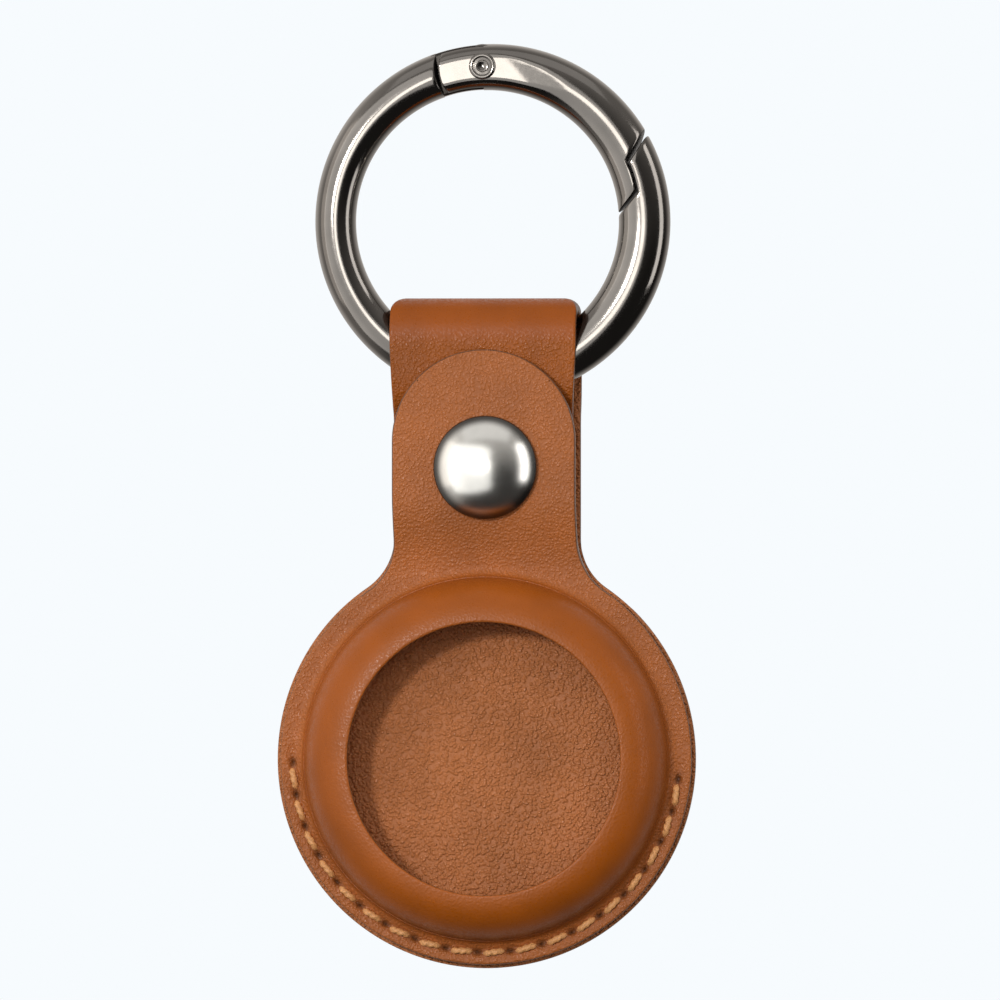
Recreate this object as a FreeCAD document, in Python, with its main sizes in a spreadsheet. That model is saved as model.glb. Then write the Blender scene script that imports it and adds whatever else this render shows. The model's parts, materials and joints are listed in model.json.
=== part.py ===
import FreeCAD, Part
import Sketcher
import math
import os
from types import SimpleNamespace

from FreeCAD import Placement, Rotation, Vector

# Leather holder for a coin-shaped tracker, on a spring-gate ring.
# Frame: origin at the centre of the ring's inner circle, +Z up, the front faces -Y, +X to the right.
# All lengths are millimetres, all angles degrees.

SIZES = [
    # Ring: round inner circle, outer circle set off towards the nose, flattened section
    ("ring_inner_radius", 12.7, "clear radius of the ring"),
    ("ring_bar", 4.48, "mean height of the ring's section"),
    ("ring_outer_shift", 0.52, "outer circle's centre towards the nose"),
    ("ring_half_depth", 1.95, "half depth of the ring's section"),
    ("overrun", 4.0, "how far every cutting tool passes the material"),
    # Gate hinge
    ("pin_x", -0.43, "gate pin, across"),
    ("pin_lift", 0.06, "gate pin above the middle of the bar"),
    ("pin_radius", 0.75, "gate pin shank"),
    ("pin_head_radius", 1.3, "gate pin head"),
    ("pin_head_sink", 0.35, "head let into the cheek"),
    ("pin_head_stand", 0.2, "head proud of the cheek"),
    ("pin_groove_radius", 0.9, "outer edge of the groove in the head"),
    ("pin_dimple_radius", 0.55, "boss left inside the groove"),
    ("pin_clearance", 0.05, "running clearance of the pin in the tenon"),
    ("heel_radius", 4.25, "gate's heel about the pin"),
    ("heel_gap", 0.15, "gap from the heel to the ring's shoulder"),
    ("tenon_thickness", 1.6, "ring's tongue between the gate's cheeks"),
    ("tenon_eye_inset", 0.29, "bar's surface to the eye about the pin"),
    ("tenon_arm_inset", 0.44, "bar's surface to the tongue behind its eye"),
    ("tenon_tilt", 10.4, "fall of the tongue towards the shoulder"),
    ("tenon_flat_depth", 0.45, "depth of the flat on the eye"),
    ("slot_side_gap", 0.1, "gap from the tongue to each cheek"),
    ("slot_end_gap", 0.2, "gap round the eye"),
    ("slot_relief", 1.0, "slot's relief under the eye, for the open gate"),
    ("facet_half_depth", 1.65, "half depth over the flats at the rivet"),
    ("facet_end", 4.0, "where the flats end, from the origin"),
    ("facet_ramp", 2.6, "length of the ramp at the end of a flat"),
    # Gate nose
    ("nose_gap", 0.2, "gap between gate and ring at the nose"),
    ("nose_lip_angle", 23.2, "where the gate's outer step meets its lap"),
    ("nose_toe_angle", 3.75, "where the gate's inner step meets the inner circle"),
    ("lip_tilt", 48.0, "slope of the lip's end"),
    # Gate spring and plunger
    ("plunger_tilt", 12.0, "fall of the plunger's bore from the pin"),
    ("plunger_radius", 0.7, "plunger body"),
    ("plunger_nose_radius", 0.5, "plunger nose"),
    ("plunger_length", 1.1, "plunger body without nose"),
    ("plunger_spigot_radius", 0.35, "spigot inside the spring"),
    ("plunger_spigot_length", 0.6, "spigot inside the spring"),
    ("plunger_clearance", 0.05, "clearance of the plunger in its bore"),
    ("plunger_seat_gap", 0.02, "plunger nose to the flat of the eye"),
    ("bore_depth", 6.9, "end of the plunger's bore, from the pin"),
    ("spring_wire_radius", 0.13, "gate spring wire"),
    # Pocket, made for a coin tracker
    ("tracker_radius", 15.95, "coin tracker that the pocket takes"),
    ("pocket_clearance", 0.4, "tracker to the pocket's wall"),
    ("window_lip", 2.8, "how far the rim laps over the tracker"),
    ("flange_width", 2.25, "stitched flange outside the rim"),
    ("edge_step", 0.35, "back disc beyond the flange"),
    ("dome_height", 5.6, "crest of the rim above the flange"),
    ("rim_fillet", 0.6, "hollow at the foot of the rim"),
    ("rim_gap", 0.1, "rim to the foot of the tongue's bend"),
    # Leather
    ("outer_ply", 0.75, "thickness of the outer leather"),
    ("lining_ply", 0.5, "thickness of the lining"),
    ("strap_width", 18.0, "back strap"),
    ("tongue_inset", 0.15, "strap's edge to the tongue's edge"),
    ("loop_clearance", 0.25, "ring to strap, front and back"),
    ("loop_rise", 0.31, "ring to strap at the strap's edges"),
    ("loop_corner_radius", 1.2, "rounded top corners of the loop"),
    ("throat_rise", 1.88, "where the loop starts to close, above the ring's foot"),
    ("throat_length", 4.5, "height over which the loop closes"),
    ("clamp_gap", 0.1, "glue line between strap and flap"),
    ("flap_margin", 0.8, "flap below the stud's flange"),
    ("floor_shift", 2.0, "pocket floor in front of the ring's middle plane"),
    ("strap_bend_gap", 0.6, "flap's end to the strap's bend towards the disc"),
    ("strap_bend_length", 8.5, "height of that bend"),
    ("neck_fillet", 6.0, "fillet from neck to disc"),
    ("tongue_tip_margin", 2.55, "tongue's straight sides above the snap"),
    ("tongue_gap", 0.2, "tongue to the loop behind it"),
    ("tongue_bend_overlap", 0.6, "cap over the tongue's bend towards the disc"),
    ("tongue_bend_length", 6.0, "height of that bend"),
    ("flex_rise", 0.6, "line on which the tongue flexes, above the bend's foot"),
    ("flex_gap", 0.05, "gap between tongue and pocket at that line"),
    # Snap
    ("snap_clearance", 0.05, "hole round a rivet tube or post"),
    ("cap_radius", 5.0, "domed cap"),
    ("cap_rim", 0.55, "straight rim of the cap"),
    ("cap_crown_radius", 6.6, "radius of the cap's crown"),
    ("cap_wall", 0.4, "sheet of the cap"),
    ("rivet_flange_gap", 0.3, "rivet flange to the cap's wall"),
    ("rivet_flange_thickness", 0.35, "rivet flange inside the cap"),
    ("rivet_tube_radius", 1.4, "rivet tube through the tongue"),
    ("rivet_bore_radius", 1.05, "bore of the rivet tube"),
    ("rivet_roll_radius", 2.0, "rolled end inside the socket"),
    ("rivet_roll_thickness", 0.3, "rolled end inside the socket"),
    ("socket_flange_radius", 4.2, "socket flange on the tongue's back"),
    ("socket_flange_thickness", 0.4, "socket flange"),
    ("socket_cup_radius", 3.1, "outside of the socket's cup"),
    ("socket_bore_radius", 2.25, "inside of the cup"),
    ("socket_groove_radius", 2.55, "groove for the wire spring"),
    ("socket_lip_radius", 2.08, "mouth of the socket"),
    ("socket_lip_thickness", 0.15, "lip that keeps the wire spring in"),
    ("socket_stand_off", 0.15, "socket's mouth to the stud's flange"),
    ("grip_wire_radius", 0.2, "wire spring in the socket"),
    ("grip_ring_radius", 1.97, "wire spring's mean radius"),
    ("grip_opening_angle", 50.0, "gap in the wire spring"),
    ("stud_flange_radius", 3.8, "stud flange on the flap"),
    ("stud_flange_thickness", 0.35, "stud flange"),
    ("stud_neck_radius", 1.6, "neck below the stud's head"),
    ("stud_head_radius", 1.88, "widest part of the stud's head"),
    ("stud_top_radius", 1.35, "flat top of the stud"),
    ("stud_bore_radius", 1.0, "bore that takes the post"),
    ("stud_top_gap", 0.15, "stud's top to the rivet's rolled end"),
    ("stud_neck_length", 0.6, "height of the neck"),
    ("stud_bulge_length", 0.25, "height of the head's widest part above the neck"),
    ("stud_cover", 0.3, "metal over the end of the post"),
    ("post_head_radius", 4.0, "post head on the strap's back"),
    ("post_rim_thickness", 0.35, "rim of the post head"),
    ("post_crown", 0.3, "rise of the post head"),
    ("post_flat_radius", 2.2, "flat middle of the post head"),
    # Seam
    ("seam_offset", 1.05, "rim to the stitch line"),
    ("seam_start_angle", 181.0, "first needle hole, counted from +X towards +Z"),
    ("seam_end_angle", 354.0, "last needle hole"),
    ("thread_radius", 0.3, "sewing thread"),
]

STITCH_COUNT = 18
SPRING_TURNS = 6
RING_STEP_ANGLE = 22.0
STITCH_LENGTH_SHARE = 0.88
STITCH_END_SHARE = 0.45
STITCH_TAPER_SHARE = 0.16
STITCH_SIDE_COUNT = 8
SPRING_RADIUS_SHARE = 0.76
SPRING_END_SHARE = 1.5
TURN = 360.0

# Angles on the ring between which its lofts run, well past the cuts at hinge and nose
HINGE_FROM = 84.0
HINGE_TO = 122.0
NOSE_TO = 36.0
GATE_FROM = -8.0

doc = FreeCAD.newDocument("tracker_tag_holder")
sheet = doc.addObject("Spreadsheet::Sheet", "sizes")
for row, (alias, number, note) in enumerate(SIZES, start=1):
    sheet.set("A%d" % row, note)
    sheet.set("B%d" % row, str(number))
    sheet.setAlias("B%d" % row, alias)
doc.recompute()


class Size(float):
    """A number that also knows the sheet expression it comes from."""

    def __new__(cls, value, text):
        made = float.__new__(cls, value)
        made.text = text
        return made

    def __add__(self, other):
        return joined(self, "+", other, float(self) + float(other))

    def __radd__(self, other):
        return joined(other, "+", self, float(other) + float(self))

    def __sub__(self, other):
        return joined(self, "-", other, float(self) - float(other))

    def __rsub__(self, other):
        return joined(other, "-", self, float(other) - float(self))

    def __mul__(self, other):
        return joined(self, "*", other, float(self) * float(other))

    def __rmul__(self, other):
        return joined(other, "*", self, float(other) * float(self))

    def __truediv__(self, other):
        return joined(self, "/", other, float(self) / float(other))

    def __neg__(self):
        return Size(-float(self), "(-1 * %s)" % self.text)


def text_of(number):
    return number.text if isinstance(number, Size) else repr(float(number))


def joined(first, sign, second, value):
    return Size(value, "(%s %s %s)" % (text_of(first), sign, text_of(second)))


def root(number):
    return Size(math.sqrt(number), "sqrt(%s)" % text_of(number))


def cosine(angle):
    return Size(math.cos(math.radians(angle)), "cos(%s)" % text_of(angle))


def sine(angle):
    return Size(math.sin(math.radians(angle)), "sin(%s)" % text_of(angle))


# Driving sizes by name, and the levels that follow from them
D = SimpleNamespace(**{alias: Size(number, "sizes." + alias) for alias, number, note in SIZES})
ZERO = Size(0.0, "0")
START_INDEX = 1
END_INDEX = 2

RING_OUTER = D.ring_inner_radius + D.ring_bar
RING_MIDDLE = D.ring_inner_radius + D.ring_bar / 2
PIN_Z = RING_MIDDLE + D.pin_lift
EYE_RADIUS = D.ring_bar / 2 - D.tenon_eye_inset
EYE_FLAT = EYE_RADIUS - D.tenon_flat_depth
ARM_HEIGHT = D.ring_bar - D.tenon_arm_inset * 2
SLOT_WIDTH = D.tenon_thickness + D.slot_side_gap * 2
SLOT_RADIUS = EYE_RADIUS + D.slot_end_gap
ACROSS = RING_OUTER * 2 + D.overrun

LEATHER = D.outer_ply + D.lining_ply
STRAP_HALF = D.strap_width / 2
TONGUE_HALF = STRAP_HALF - D.tongue_inset
LOOP_HALF = D.ring_half_depth + D.loop_clearance
LOOP_TOP = D.loop_rise - root(D.ring_inner_radius * D.ring_inner_radius - STRAP_HALF * STRAP_HALF)
FLOOR_Y = -D.floor_shift
FLANGE_FRONT = FLOOR_Y - LEATHER
DISC_BACK = FLOOR_Y + LEATHER
STRAP_FACE = D.clamp_gap / 2
STRAP_BACK = STRAP_FACE + LEATHER
FLAP_FRONT = -STRAP_BACK
TONGUE_BACK = -(LOOP_HALF + LEATHER + D.tongue_gap)
TONGUE_FRONT = TONGUE_BACK - LEATHER

# Heights, from the ring's foot down
THROAT_Z = D.throat_rise - RING_OUTER
THROAT_FOOT = THROAT_Z - D.throat_length
SNAP_Z = THROAT_FOOT - D.post_head_radius
FLAP_END = SNAP_Z - D.stud_flange_radius - D.flap_margin
STRAP_BEND_Z = FLAP_END - D.strap_bend_gap
STRAP_BEND_FOOT = STRAP_BEND_Z - D.strap_bend_length
TONGUE_TIP = SNAP_Z + TONGUE_HALF + D.tongue_tip_margin
TONGUE_BEND_Z = SNAP_Z - D.cap_radius + D.tongue_bend_overlap
TONGUE_BEND_FOOT = TONGUE_BEND_Z - D.tongue_bend_length
FLEX_Z = TONGUE_BEND_FOOT + D.flex_rise

# Pocket, from the tracker outwards
DOME_RADIUS = D.tracker_radius + D.pocket_clearance + LEATHER
WINDOW_RADIUS = D.tracker_radius - D.window_lip
SEAM_RADIUS = DOME_RADIUS + D.seam_offset
FRONT_RADIUS = DOME_RADIUS + D.flange_width
BACK_RADIUS = FRONT_RADIUS + D.edge_step
DISC_Z = TONGUE_BEND_FOOT - D.rim_gap - DOME_RADIUS
SHEET_LOW = DISC_Z - BACK_RADIUS - D.overrun

finished = []


def finish(piece, label):
    """Keep a finished sub-part under its node name."""
    piece.Label = label
    finished.append(piece)
    return piece


def bind(thing, expressions):
    for path, number in expressions.items():
        thing.setExpression(path, text_of(number))


def box(name, lengths, corner, turn=None):
    """Box of given lengths; its low corner sits at corner and it turns about that point."""
    tool = doc.addObject("Part::Box", name)
    if turn is not None:
        tool.Placement = Placement(Vector(), turn)
    bind(tool, dict(zip(("Length", "Width", "Height"), lengths)))
    bind(tool, dict(zip(("Placement.Base.x", "Placement.Base.y", "Placement.Base.z"), corner)))
    return tool


def rod(name, radius, length, x, z, middle=ZERO):
    """Cylinder along Y, centred on middle."""
    tool = doc.addObject("Part::Cylinder", name)
    tool.Placement = Placement(Vector(), Rotation(Vector(1, 0, 0), -90))
    bind(tool, {"Radius": radius, "Height": length})
    bind(tool, {"Placement.Base.x": x, "Placement.Base.y": middle - length / 2, "Placement.Base.z": z})
    return tool


def fuse(name, *shapes):
    joint = doc.addObject("Part::MultiFuse", name)
    joint.Shapes = list(shapes)
    return joint


def common(name, first, second):
    kept = doc.addObject("Part::MultiCommon", name)
    kept.Shapes = [first, second]
    return kept


def cut(name, base, *tools):
    kept = doc.addObject("Part::Cut", name)
    kept.Base = base
    kept.Tool = tools[0] if len(tools) == 1 else fuse(name + "_tools", *tools)
    return kept


def arc_between(start, end, radius, side):
    """Arc from start to end; side 1 puts its centre to the left of that run, -1 to the right."""
    chord = end - start
    left = Vector(-chord.y, chord.x, 0).normalize()
    rise = math.sqrt(max(radius * radius - chord.Length * chord.Length / 4, 0.0))
    circle = Part.Circle((start + end) / 2 + left * (rise * side), Vector(0, 0, 1), radius)
    ends = (start, end) if side > 0 else (end, start)
    return Part.ArcOfCircle(circle, circle.parameter(ends[0]), circle.parameter(ends[1]))


def turned(label, outline, centre, axis=Vector(0, 1, 0)):
    """Round piece: an outline of (radius, along[, arc radius, side]) corners turned about an axis.

    A corner's arc radius and side shape the edge that leads to it.
    """
    body = doc.addObject("PartDesign::Body", label)
    plane = [item for item in body.Origin.OriginFeatures if item.Role == "XY_Plane"][0]
    sketch = body.newObject("Sketcher::SketchObject", label + "_outline")
    sketch.AttachmentSupport = [(plane, "")]
    sketch.MapMode = "FlatFace"
    starts = []
    ends = []
    for index, corner in enumerate(outline):
        before = outline[index - 1]
        start = Vector(before[0], before[1], 0)
        end = Vector(corner[0], corner[1], 0)
        if len(corner) == 2:
            edge = sketch.addGeometry(Part.LineSegment(start, end))
            points = (START_INDEX, END_INDEX)
        else:
            edge = sketch.addGeometry(arc_between(start, end, corner[2], corner[3]))
            points = (START_INDEX, END_INDEX) if corner[3] > 0 else (END_INDEX, START_INDEX)
            held = sketch.addConstraint(Sketcher.Constraint("Radius", edge, corner[2]))
            sketch.setExpression("Constraints[%d]" % held, text_of(corner[2]))
        starts.append((edge, points[0]))
        ends.append((edge, points[1]))
    for index, corner in enumerate(outline):
        following = starts[(index + 1) % len(outline)]
        sketch.addConstraint(Sketcher.Constraint("Coincident", *ends[index], *following))
        for kind, number in zip(("DistanceX", "DistanceY"), corner):
            held = sketch.addConstraint(Sketcher.Constraint(kind, -1, 1, *ends[index], float(number)))
            sketch.setExpression("Constraints[%d]" % held, text_of(number))
    turn = body.newObject("PartDesign::Revolution", label + "_turn")
    turn.Profile = sketch
    turn.ReferenceAxis = (sketch, ["V_Axis"])
    turn.Angle = TURN
    body.Placement = Placement(Vector(*centre), Rotation(Vector(0, 1, 0), axis))
    return finish(body, label)


# Ring and gate

def ring_reach(angle):
    """Radius of the ring's outer circle, seen from the origin at an angle."""
    drift = D.ring_outer_shift * sine(angle)
    return D.ring_outer_shift * cosine(angle) + root(RING_OUTER * RING_OUTER - drift * drift)


def ring_bar(name, first, last):
    """Stretch of the ring, lofted through ellipses that grow towards the nose."""
    count = math.ceil((last - first) / RING_STEP_ANGLE) + 1
    sections = []
    for index in range(count):
        angle = first + (last - first) * (index / (count - 1))
        section = doc.addObject("Part::Ellipse", "%s_section_%d" % (name, index))
        section.Placement = Placement(Vector(), Rotation(Vector(0, 1, 0), -angle))
        middle = (ring_reach(angle) + D.ring_inner_radius) / 2
        bind(section, {"MajorRadius": (ring_reach(angle) - D.ring_inner_radius) / 2})
        bind(section, {"MinorRadius": D.ring_half_depth})
        bind(section, {"Placement.Base.x": middle * cosine(angle), "Placement.Base.z": middle * sine(angle)})
        sections.append(section)
    bar = doc.addObject("Part::Loft", name)
    bar.Sections = sections
    bar.Solid = True
    return bar


def pin_rod(name, radius, length=ACROSS, middle=ZERO):
    return rod(name, radius, length, D.pin_x, PIN_Z, middle)


def pin_distance(radius, angle):
    """Distance from the gate pin to a place on the ring."""
    across = radius * cosine(angle) - D.pin_x
    along = radius * sine(angle) - PIN_Z
    return root(across * across + along * along)


def eye_rod(name, radius):
    return rod(name, radius, ACROSS, ZERO, ZERO)


def nose_steps(name, gap):
    """Space of the gate's nose: an outer step about the pin and an inner one under the lap."""
    outer = pin_rod(name + "_outer", pin_distance(RING_MIDDLE, D.nose_lip_angle) + gap)
    lap = eye_rod(name + "_lap", RING_MIDDLE + gap)
    inner = pin_rod(name + "_inner", pin_distance(D.ring_inner_radius, D.nose_toe_angle) + gap)
    return fuse(name, outer, common(name + "_under_lap", lap, inner))


def make_ring_body():
    """Fixed part of the ring: shoulder and tongue at the hinge, lip over the lap at the nose."""
    bar = ring_bar("ring_bar", HINGE_FROM, TURN + NOSE_TO)
    shoulder = pin_rod("ring_shoulder", D.heel_radius + D.heel_gap)
    right_side = box("nose_side", (ACROSS, ACROSS, ACROSS), (D.heel_radius, -ACROSS / 2, -ACROSS / 2))
    nose = common("nose_room", nose_steps("nose_steps", D.nose_gap), right_side)
    lip_radius = RING_MIDDLE + D.nose_gap
    lip_corner = (lip_radius * cosine(D.nose_lip_angle), -ACROSS / 2, lip_radius * sine(D.nose_lip_angle))
    lip_end = box("lip_end", (D.overrun * 2, ACROSS, D.overrun * 2), lip_corner,
                  Rotation(Vector(0, 1, 0), -D.lip_tilt))
    open_bar = cut("ring_open", bar, shoulder, nose, lip_end)
    arm_length = D.heel_radius + D.heel_gap * 2
    arm_tilt = Rotation(Vector(0, 1, 0), TURN / 2 - D.tenon_tilt)
    half_height = ARM_HEIGHT / 2
    arm_corner = (D.pin_x - half_height * sine(D.tenon_tilt), D.tenon_thickness / -2,
                  PIN_Z + half_height * cosine(D.tenon_tilt))
    arm = box("tenon_arm", (arm_length, D.tenon_thickness, ARM_HEIGHT), arm_corner, arm_tilt)
    eye = pin_rod("tenon_eye", EYE_RADIUS, D.tenon_thickness)
    pin_hole = pin_rod("tenon_hole", D.pin_radius + D.pin_clearance)
    flat_corner = (D.pin_x + EYE_FLAT * cosine(D.plunger_tilt) - D.overrun * sine(D.plunger_tilt),
                   -ACROSS / 2,
                   PIN_Z - EYE_FLAT * sine(D.plunger_tilt) - D.overrun * cosine(D.plunger_tilt))
    flat = box("tenon_flat", (D.overrun, ACROSS, D.overrun * 2), flat_corner,
               Rotation(Vector(0, 1, 0), D.plunger_tilt))
    tenon = cut("tenon", fuse("tenon_blank", eye, arm), pin_hole, flat)
    finish(fuse("ring_body", open_bar, tenon), "ring_body")


def plunger_axis():
    return Rotation(Vector(0, 1, 0), float(D.plunger_tilt)).multVec(Vector(1, 0, 0))


def facet(name, side):
    """Room in front of a flat at the rivet, with a ramp back to the round section."""
    near = D.facet_half_depth * side
    far = (D.ring_half_depth + D.overrun) * side
    low = D.pin_x - D.heel_radius - D.overrun
    ramp_end = D.facet_end + D.facet_ramp
    ramp_rise = (D.ring_half_depth + D.nose_gap) * side
    corners = [(low, near), (D.facet_end, near), (ramp_end, ramp_rise), (ramp_end, far), (low, far)]
    wire = Part.makePolygon([Vector(x, y, D.ring_inner_radius / 2) for x, y in corners + corners[:1]])
    tool = doc.addObject("Part::Feature", name)
    tool.Shape = Part.Face(wire).extrude(Vector(0, 0, RING_OUTER))
    return tool


def make_ring_gate():
    """Gate that swings inward: forked heel round the tongue, stepped nose, bore for its spring."""
    bar = ring_bar("gate_bar", GATE_FROM, HINGE_TO)
    blank = common("gate_blank", bar, nose_steps("gate_nose", ZERO))
    heel_side = box("heel_side", (ACROSS, ACROSS, ACROSS),
                    (D.pin_x - D.heel_radius / 2 - ACROSS, -ACROSS / 2, ZERO))
    heel_waste = cut("heel_waste", heel_side, pin_rod("heel_round", D.heel_radius))
    slot_round = pin_rod("slot_round", SLOT_RADIUS, SLOT_WIDTH)
    slot_back = box("slot_back", (ACROSS, SLOT_WIDTH, ACROSS),
                    (D.pin_x - ACROSS, SLOT_WIDTH / -2, ZERO))
    slot_foot = box("slot_foot", (D.slot_relief, SLOT_WIDTH, D.overrun),
                    (D.pin_x, SLOT_WIDTH / -2, PIN_Z - D.overrun))
    pin_hole = pin_rod("cheek_hole", D.pin_radius)
    sink_depth = D.facet_half_depth - D.pin_head_sink
    sinks = [pin_rod("head_sink_%d" % index, D.pin_head_radius, D.overrun,
                     (sink_depth + D.overrun / 2) * side) for index, side in enumerate((-1, 1))]
    bore = doc.addObject("Part::Cylinder", "plunger_bore")
    bore.Placement = Placement(Vector(D.pin_x, 0, PIN_Z), Rotation(Vector(0, 0, 1), plunger_axis()))
    bind(bore, {"Radius": D.plunger_radius + D.plunger_clearance, "Height": D.bore_depth})
    facets = [facet("facet_%d" % index, side) for index, side in enumerate((-1, 1))]
    slot = [slot_round, slot_back, slot_foot]
    gate = cut("ring_gate", blank, heel_waste, *slot, pin_hole, *sinks, bore, *facets)
    finish(gate, "ring_gate")


def make_gate_pin():
    """Hinge rivet with a turned groove in each head."""
    face = D.facet_half_depth + D.pin_head_stand
    seat = D.facet_half_depth - D.pin_head_sink
    groove = D.facet_half_depth - D.pin_head_sink / 2
    profile = [(ZERO, groove), (D.pin_dimple_radius, face), (D.pin_dimple_radius, groove),
               (D.pin_groove_radius, groove), (D.pin_groove_radius, face),
               (D.pin_head_radius, D.facet_half_depth), (D.pin_head_radius, seat), (D.pin_radius, seat)]
    mirrored = [(radius, -along) for radius, along in reversed(profile)]
    turned("gate_pin", profile + mirrored, (D.pin_x, 0, PIN_Z))


def make_gate_plunger():
    """Round-nosed plunger between the gate's spring and the flat of the tongue's eye."""
    tip = EYE_FLAT + D.plunger_seat_gap
    shoulder = tip + D.plunger_nose_radius
    end = shoulder + D.plunger_length
    spigot = end + D.plunger_spigot_length
    outline = [(ZERO, tip), (D.plunger_nose_radius, shoulder, D.plunger_nose_radius, 1),
               (D.plunger_radius, shoulder + D.plunger_radius - D.plunger_nose_radius),
               (D.plunger_radius, end), (D.plunger_spigot_radius, end),
               (D.plunger_spigot_radius, spigot), (ZERO, spigot)]
    turned("gate_plunger", outline, (D.pin_x, 0, PIN_Z), plunger_axis())


def make_gate_spring():
    """Coil spring in the gate's bore, from the plunger's shoulder to the end of the bore."""
    start = EYE_FLAT + D.plunger_seat_gap + D.plunger_nose_radius + D.plunger_length
    end_room = D.spring_wire_radius * SPRING_END_SHARE
    height = D.bore_depth - start - end_room * 2
    radius = D.plunger_radius * SPRING_RADIUS_SHARE
    coil = doc.addObject("Part::Helix", "spring_coil")
    bind(coil, {"Pitch": height / SPRING_TURNS, "Height": height, "Radius": radius})
    wire = doc.addObject("Part::Circle", "spring_wire")
    wire.Placement = Placement(Vector(), Rotation(Vector(1, 0, 0), 90))
    bind(wire, {"Radius": D.spring_wire_radius, "Placement.Base.x": radius})
    doc.recompute()
    spring = doc.addObject("Part::Sweep", "gate_spring")
    spring.Sections = [wire]
    spring.Spine = (coil, ["Edge1"])
    spring.Solid = True
    spring.Frenet = True
    along = plunger_axis()
    base = Vector(D.pin_x, 0, PIN_Z) + along * (start + end_room)
    spring.Placement = Placement(base, Rotation(Vector(0, 0, 1), along))
    finish(spring, "gate_spring")


# Leather

def bend(shift, length):
    """Two equal arcs that carry a path sideways by shift over a length; left is positive."""
    angle = math.degrees(2 * math.atan2(abs(shift), length))
    radius = (length * length + shift * shift) / (4 * abs(shift))
    side = 1 if shift > 0 else -1
    return [(radius, angle * side), (radius, -angle * side)]


def trail(y, z, moves, offset):
    """Edges of a path in the side view, set off to its left. It starts upwards; a move is
    (length, 0) for a straight run or (radius, angle) for a bend, left turns positive."""
    place = Vector(0, y, z)
    heading = TURN / 4
    edges = []

    def left_of(angle):
        return Vector(0, -math.sin(math.radians(angle)), math.cos(math.radians(angle)))

    for reach, angle in moves:
        left = left_of(heading)
        if angle == 0:
            start = place + left * offset
            place = place + Vector(0, left.z, -left.y) * reach
            edges.append(Part.LineSegment(start, place + left * offset).toShape())
            continue
        inner = math.copysign(reach, angle)
        centre = place + left * inner
        stops = [left_of(heading + angle * share) for share in (0.0, 0.5, 1.0)]
        edges.append(Part.Arc(*[centre + stop * (offset - inner) for stop in stops]).toShape())
        place = centre - stops[-1] * inner
        heading = heading + angle
    return edges


def ply(y, z, moves, near, far):
    """Sheet of leather that follows a path between two offsets, wider than the object."""
    one = trail(y, z, moves, near)
    other = trail(y, z, moves, far)
    caps = [Part.LineSegment(one[index].Vertexes[index].Point, other[index].Vertexes[index].Point).toShape()
            for index in (0, -1)]
    wire = Part.Wire(Part.__sortEdges__(one + other + caps))
    half = BACK_RADIUS + D.overrun
    wire.translate(Vector(-half, 0, 0))
    return Part.Face(wire).extrude(Vector(half * 2, 0, 0))


def outline_prism(radius, half_width, top, corner):
    """Front view of a leather part, cut right through: disc, neck fillets and rounded top."""
    fillet = D.neck_fillet
    reach = radius + fillet
    fillet_z = DISC_Z + math.sqrt(reach * reach - (half_width + fillet) * (half_width + fillet))
    share = radius / reach
    foot_x = (half_width + fillet) * share
    foot_z = DISC_Z + (fillet_z - DISC_Z) * share
    middle = math.acos((half_width + fillet) / reach) / 2
    bulge = half_width + fillet - fillet * math.cos(middle)
    lift = fillet_z - fillet * math.sin(middle)
    diagonal = corner * math.cos(math.radians(TURN / 8))

    def at(x, z):
        return Vector(x, -ACROSS / 2, z)

    def side(sign):
        neck = Part.Arc(at(foot_x * sign, foot_z), at(bulge * sign, lift), at(half_width * sign, fillet_z))
        edge = Part.LineSegment(at(half_width * sign, fillet_z), at(half_width * sign, top - corner))
        round_x = half_width - corner
        shoulder = Part.Arc(at(half_width * sign, top - corner),
                            at((round_x + diagonal) * sign, top - corner + diagonal), at(round_x * sign, top))
        return [neck.toShape(), edge.toShape(), shoulder.toShape()]

    edges = side(1) + side(-1)
    edges.append(Part.Arc(at(foot_x, foot_z), at(0, DISC_Z - radius), at(-foot_x, foot_z)).toShape())
    if corner < half_width:
        edges.append(Part.LineSegment(at(half_width - corner, top), at(corner - half_width, top)).toShape())
    wire = Part.Wire(Part.__sortEdges__(edges))
    return Part.Face(wire).extrude(Vector(0, ACROSS, 0))


def hole(radius, z):
    return Part.makeCylinder(radius, ACROSS, Vector(0, -ACROSS / 2, z), Vector(0, 1, 0))


def leather_piece(label, shape):
    piece = doc.addObject("Part::Feature", label)
    piece.Shape = shape.removeSplitter()
    piece.Placement = Placement()
    finish(piece, label)


def make_back():
    """Back disc and strap, which folds forward over the ring and ends as a flap on itself."""
    throat = LOOP_HALF - STRAP_FACE
    loop_side = LOOP_TOP - LOOP_HALF - THROAT_Z
    moves = [(STRAP_BEND_FOOT - SHEET_LOW, 0)]
    moves += bend(FLOOR_Y - STRAP_FACE, D.strap_bend_length)
    moves += [(THROAT_FOOT - STRAP_BEND_Z, 0)]
    moves += bend(-throat, D.throat_length)
    moves += [(loop_side, 0), (LOOP_HALF, TURN / 2), (loop_side, 0)]
    moves += bend(throat, D.throat_length)
    moves += [(THROAT_FOOT - FLAP_END, 0)]
    outline = outline_prism(BACK_RADIUS, STRAP_HALF, LOOP_TOP + LEATHER, D.loop_corner_radius)
    post_hole = hole(D.stud_bore_radius + D.snap_clearance, SNAP_Z)
    for label, near, far in (("back_lining", ZERO, D.lining_ply), ("back_panel", D.lining_ply, LEATHER)):
        sheet_shape = ply(FLOOR_Y, SHEET_LOW, moves, -near, -far)
        leather_piece(label, sheet_shape.common(outline).cut(post_hole))


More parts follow.
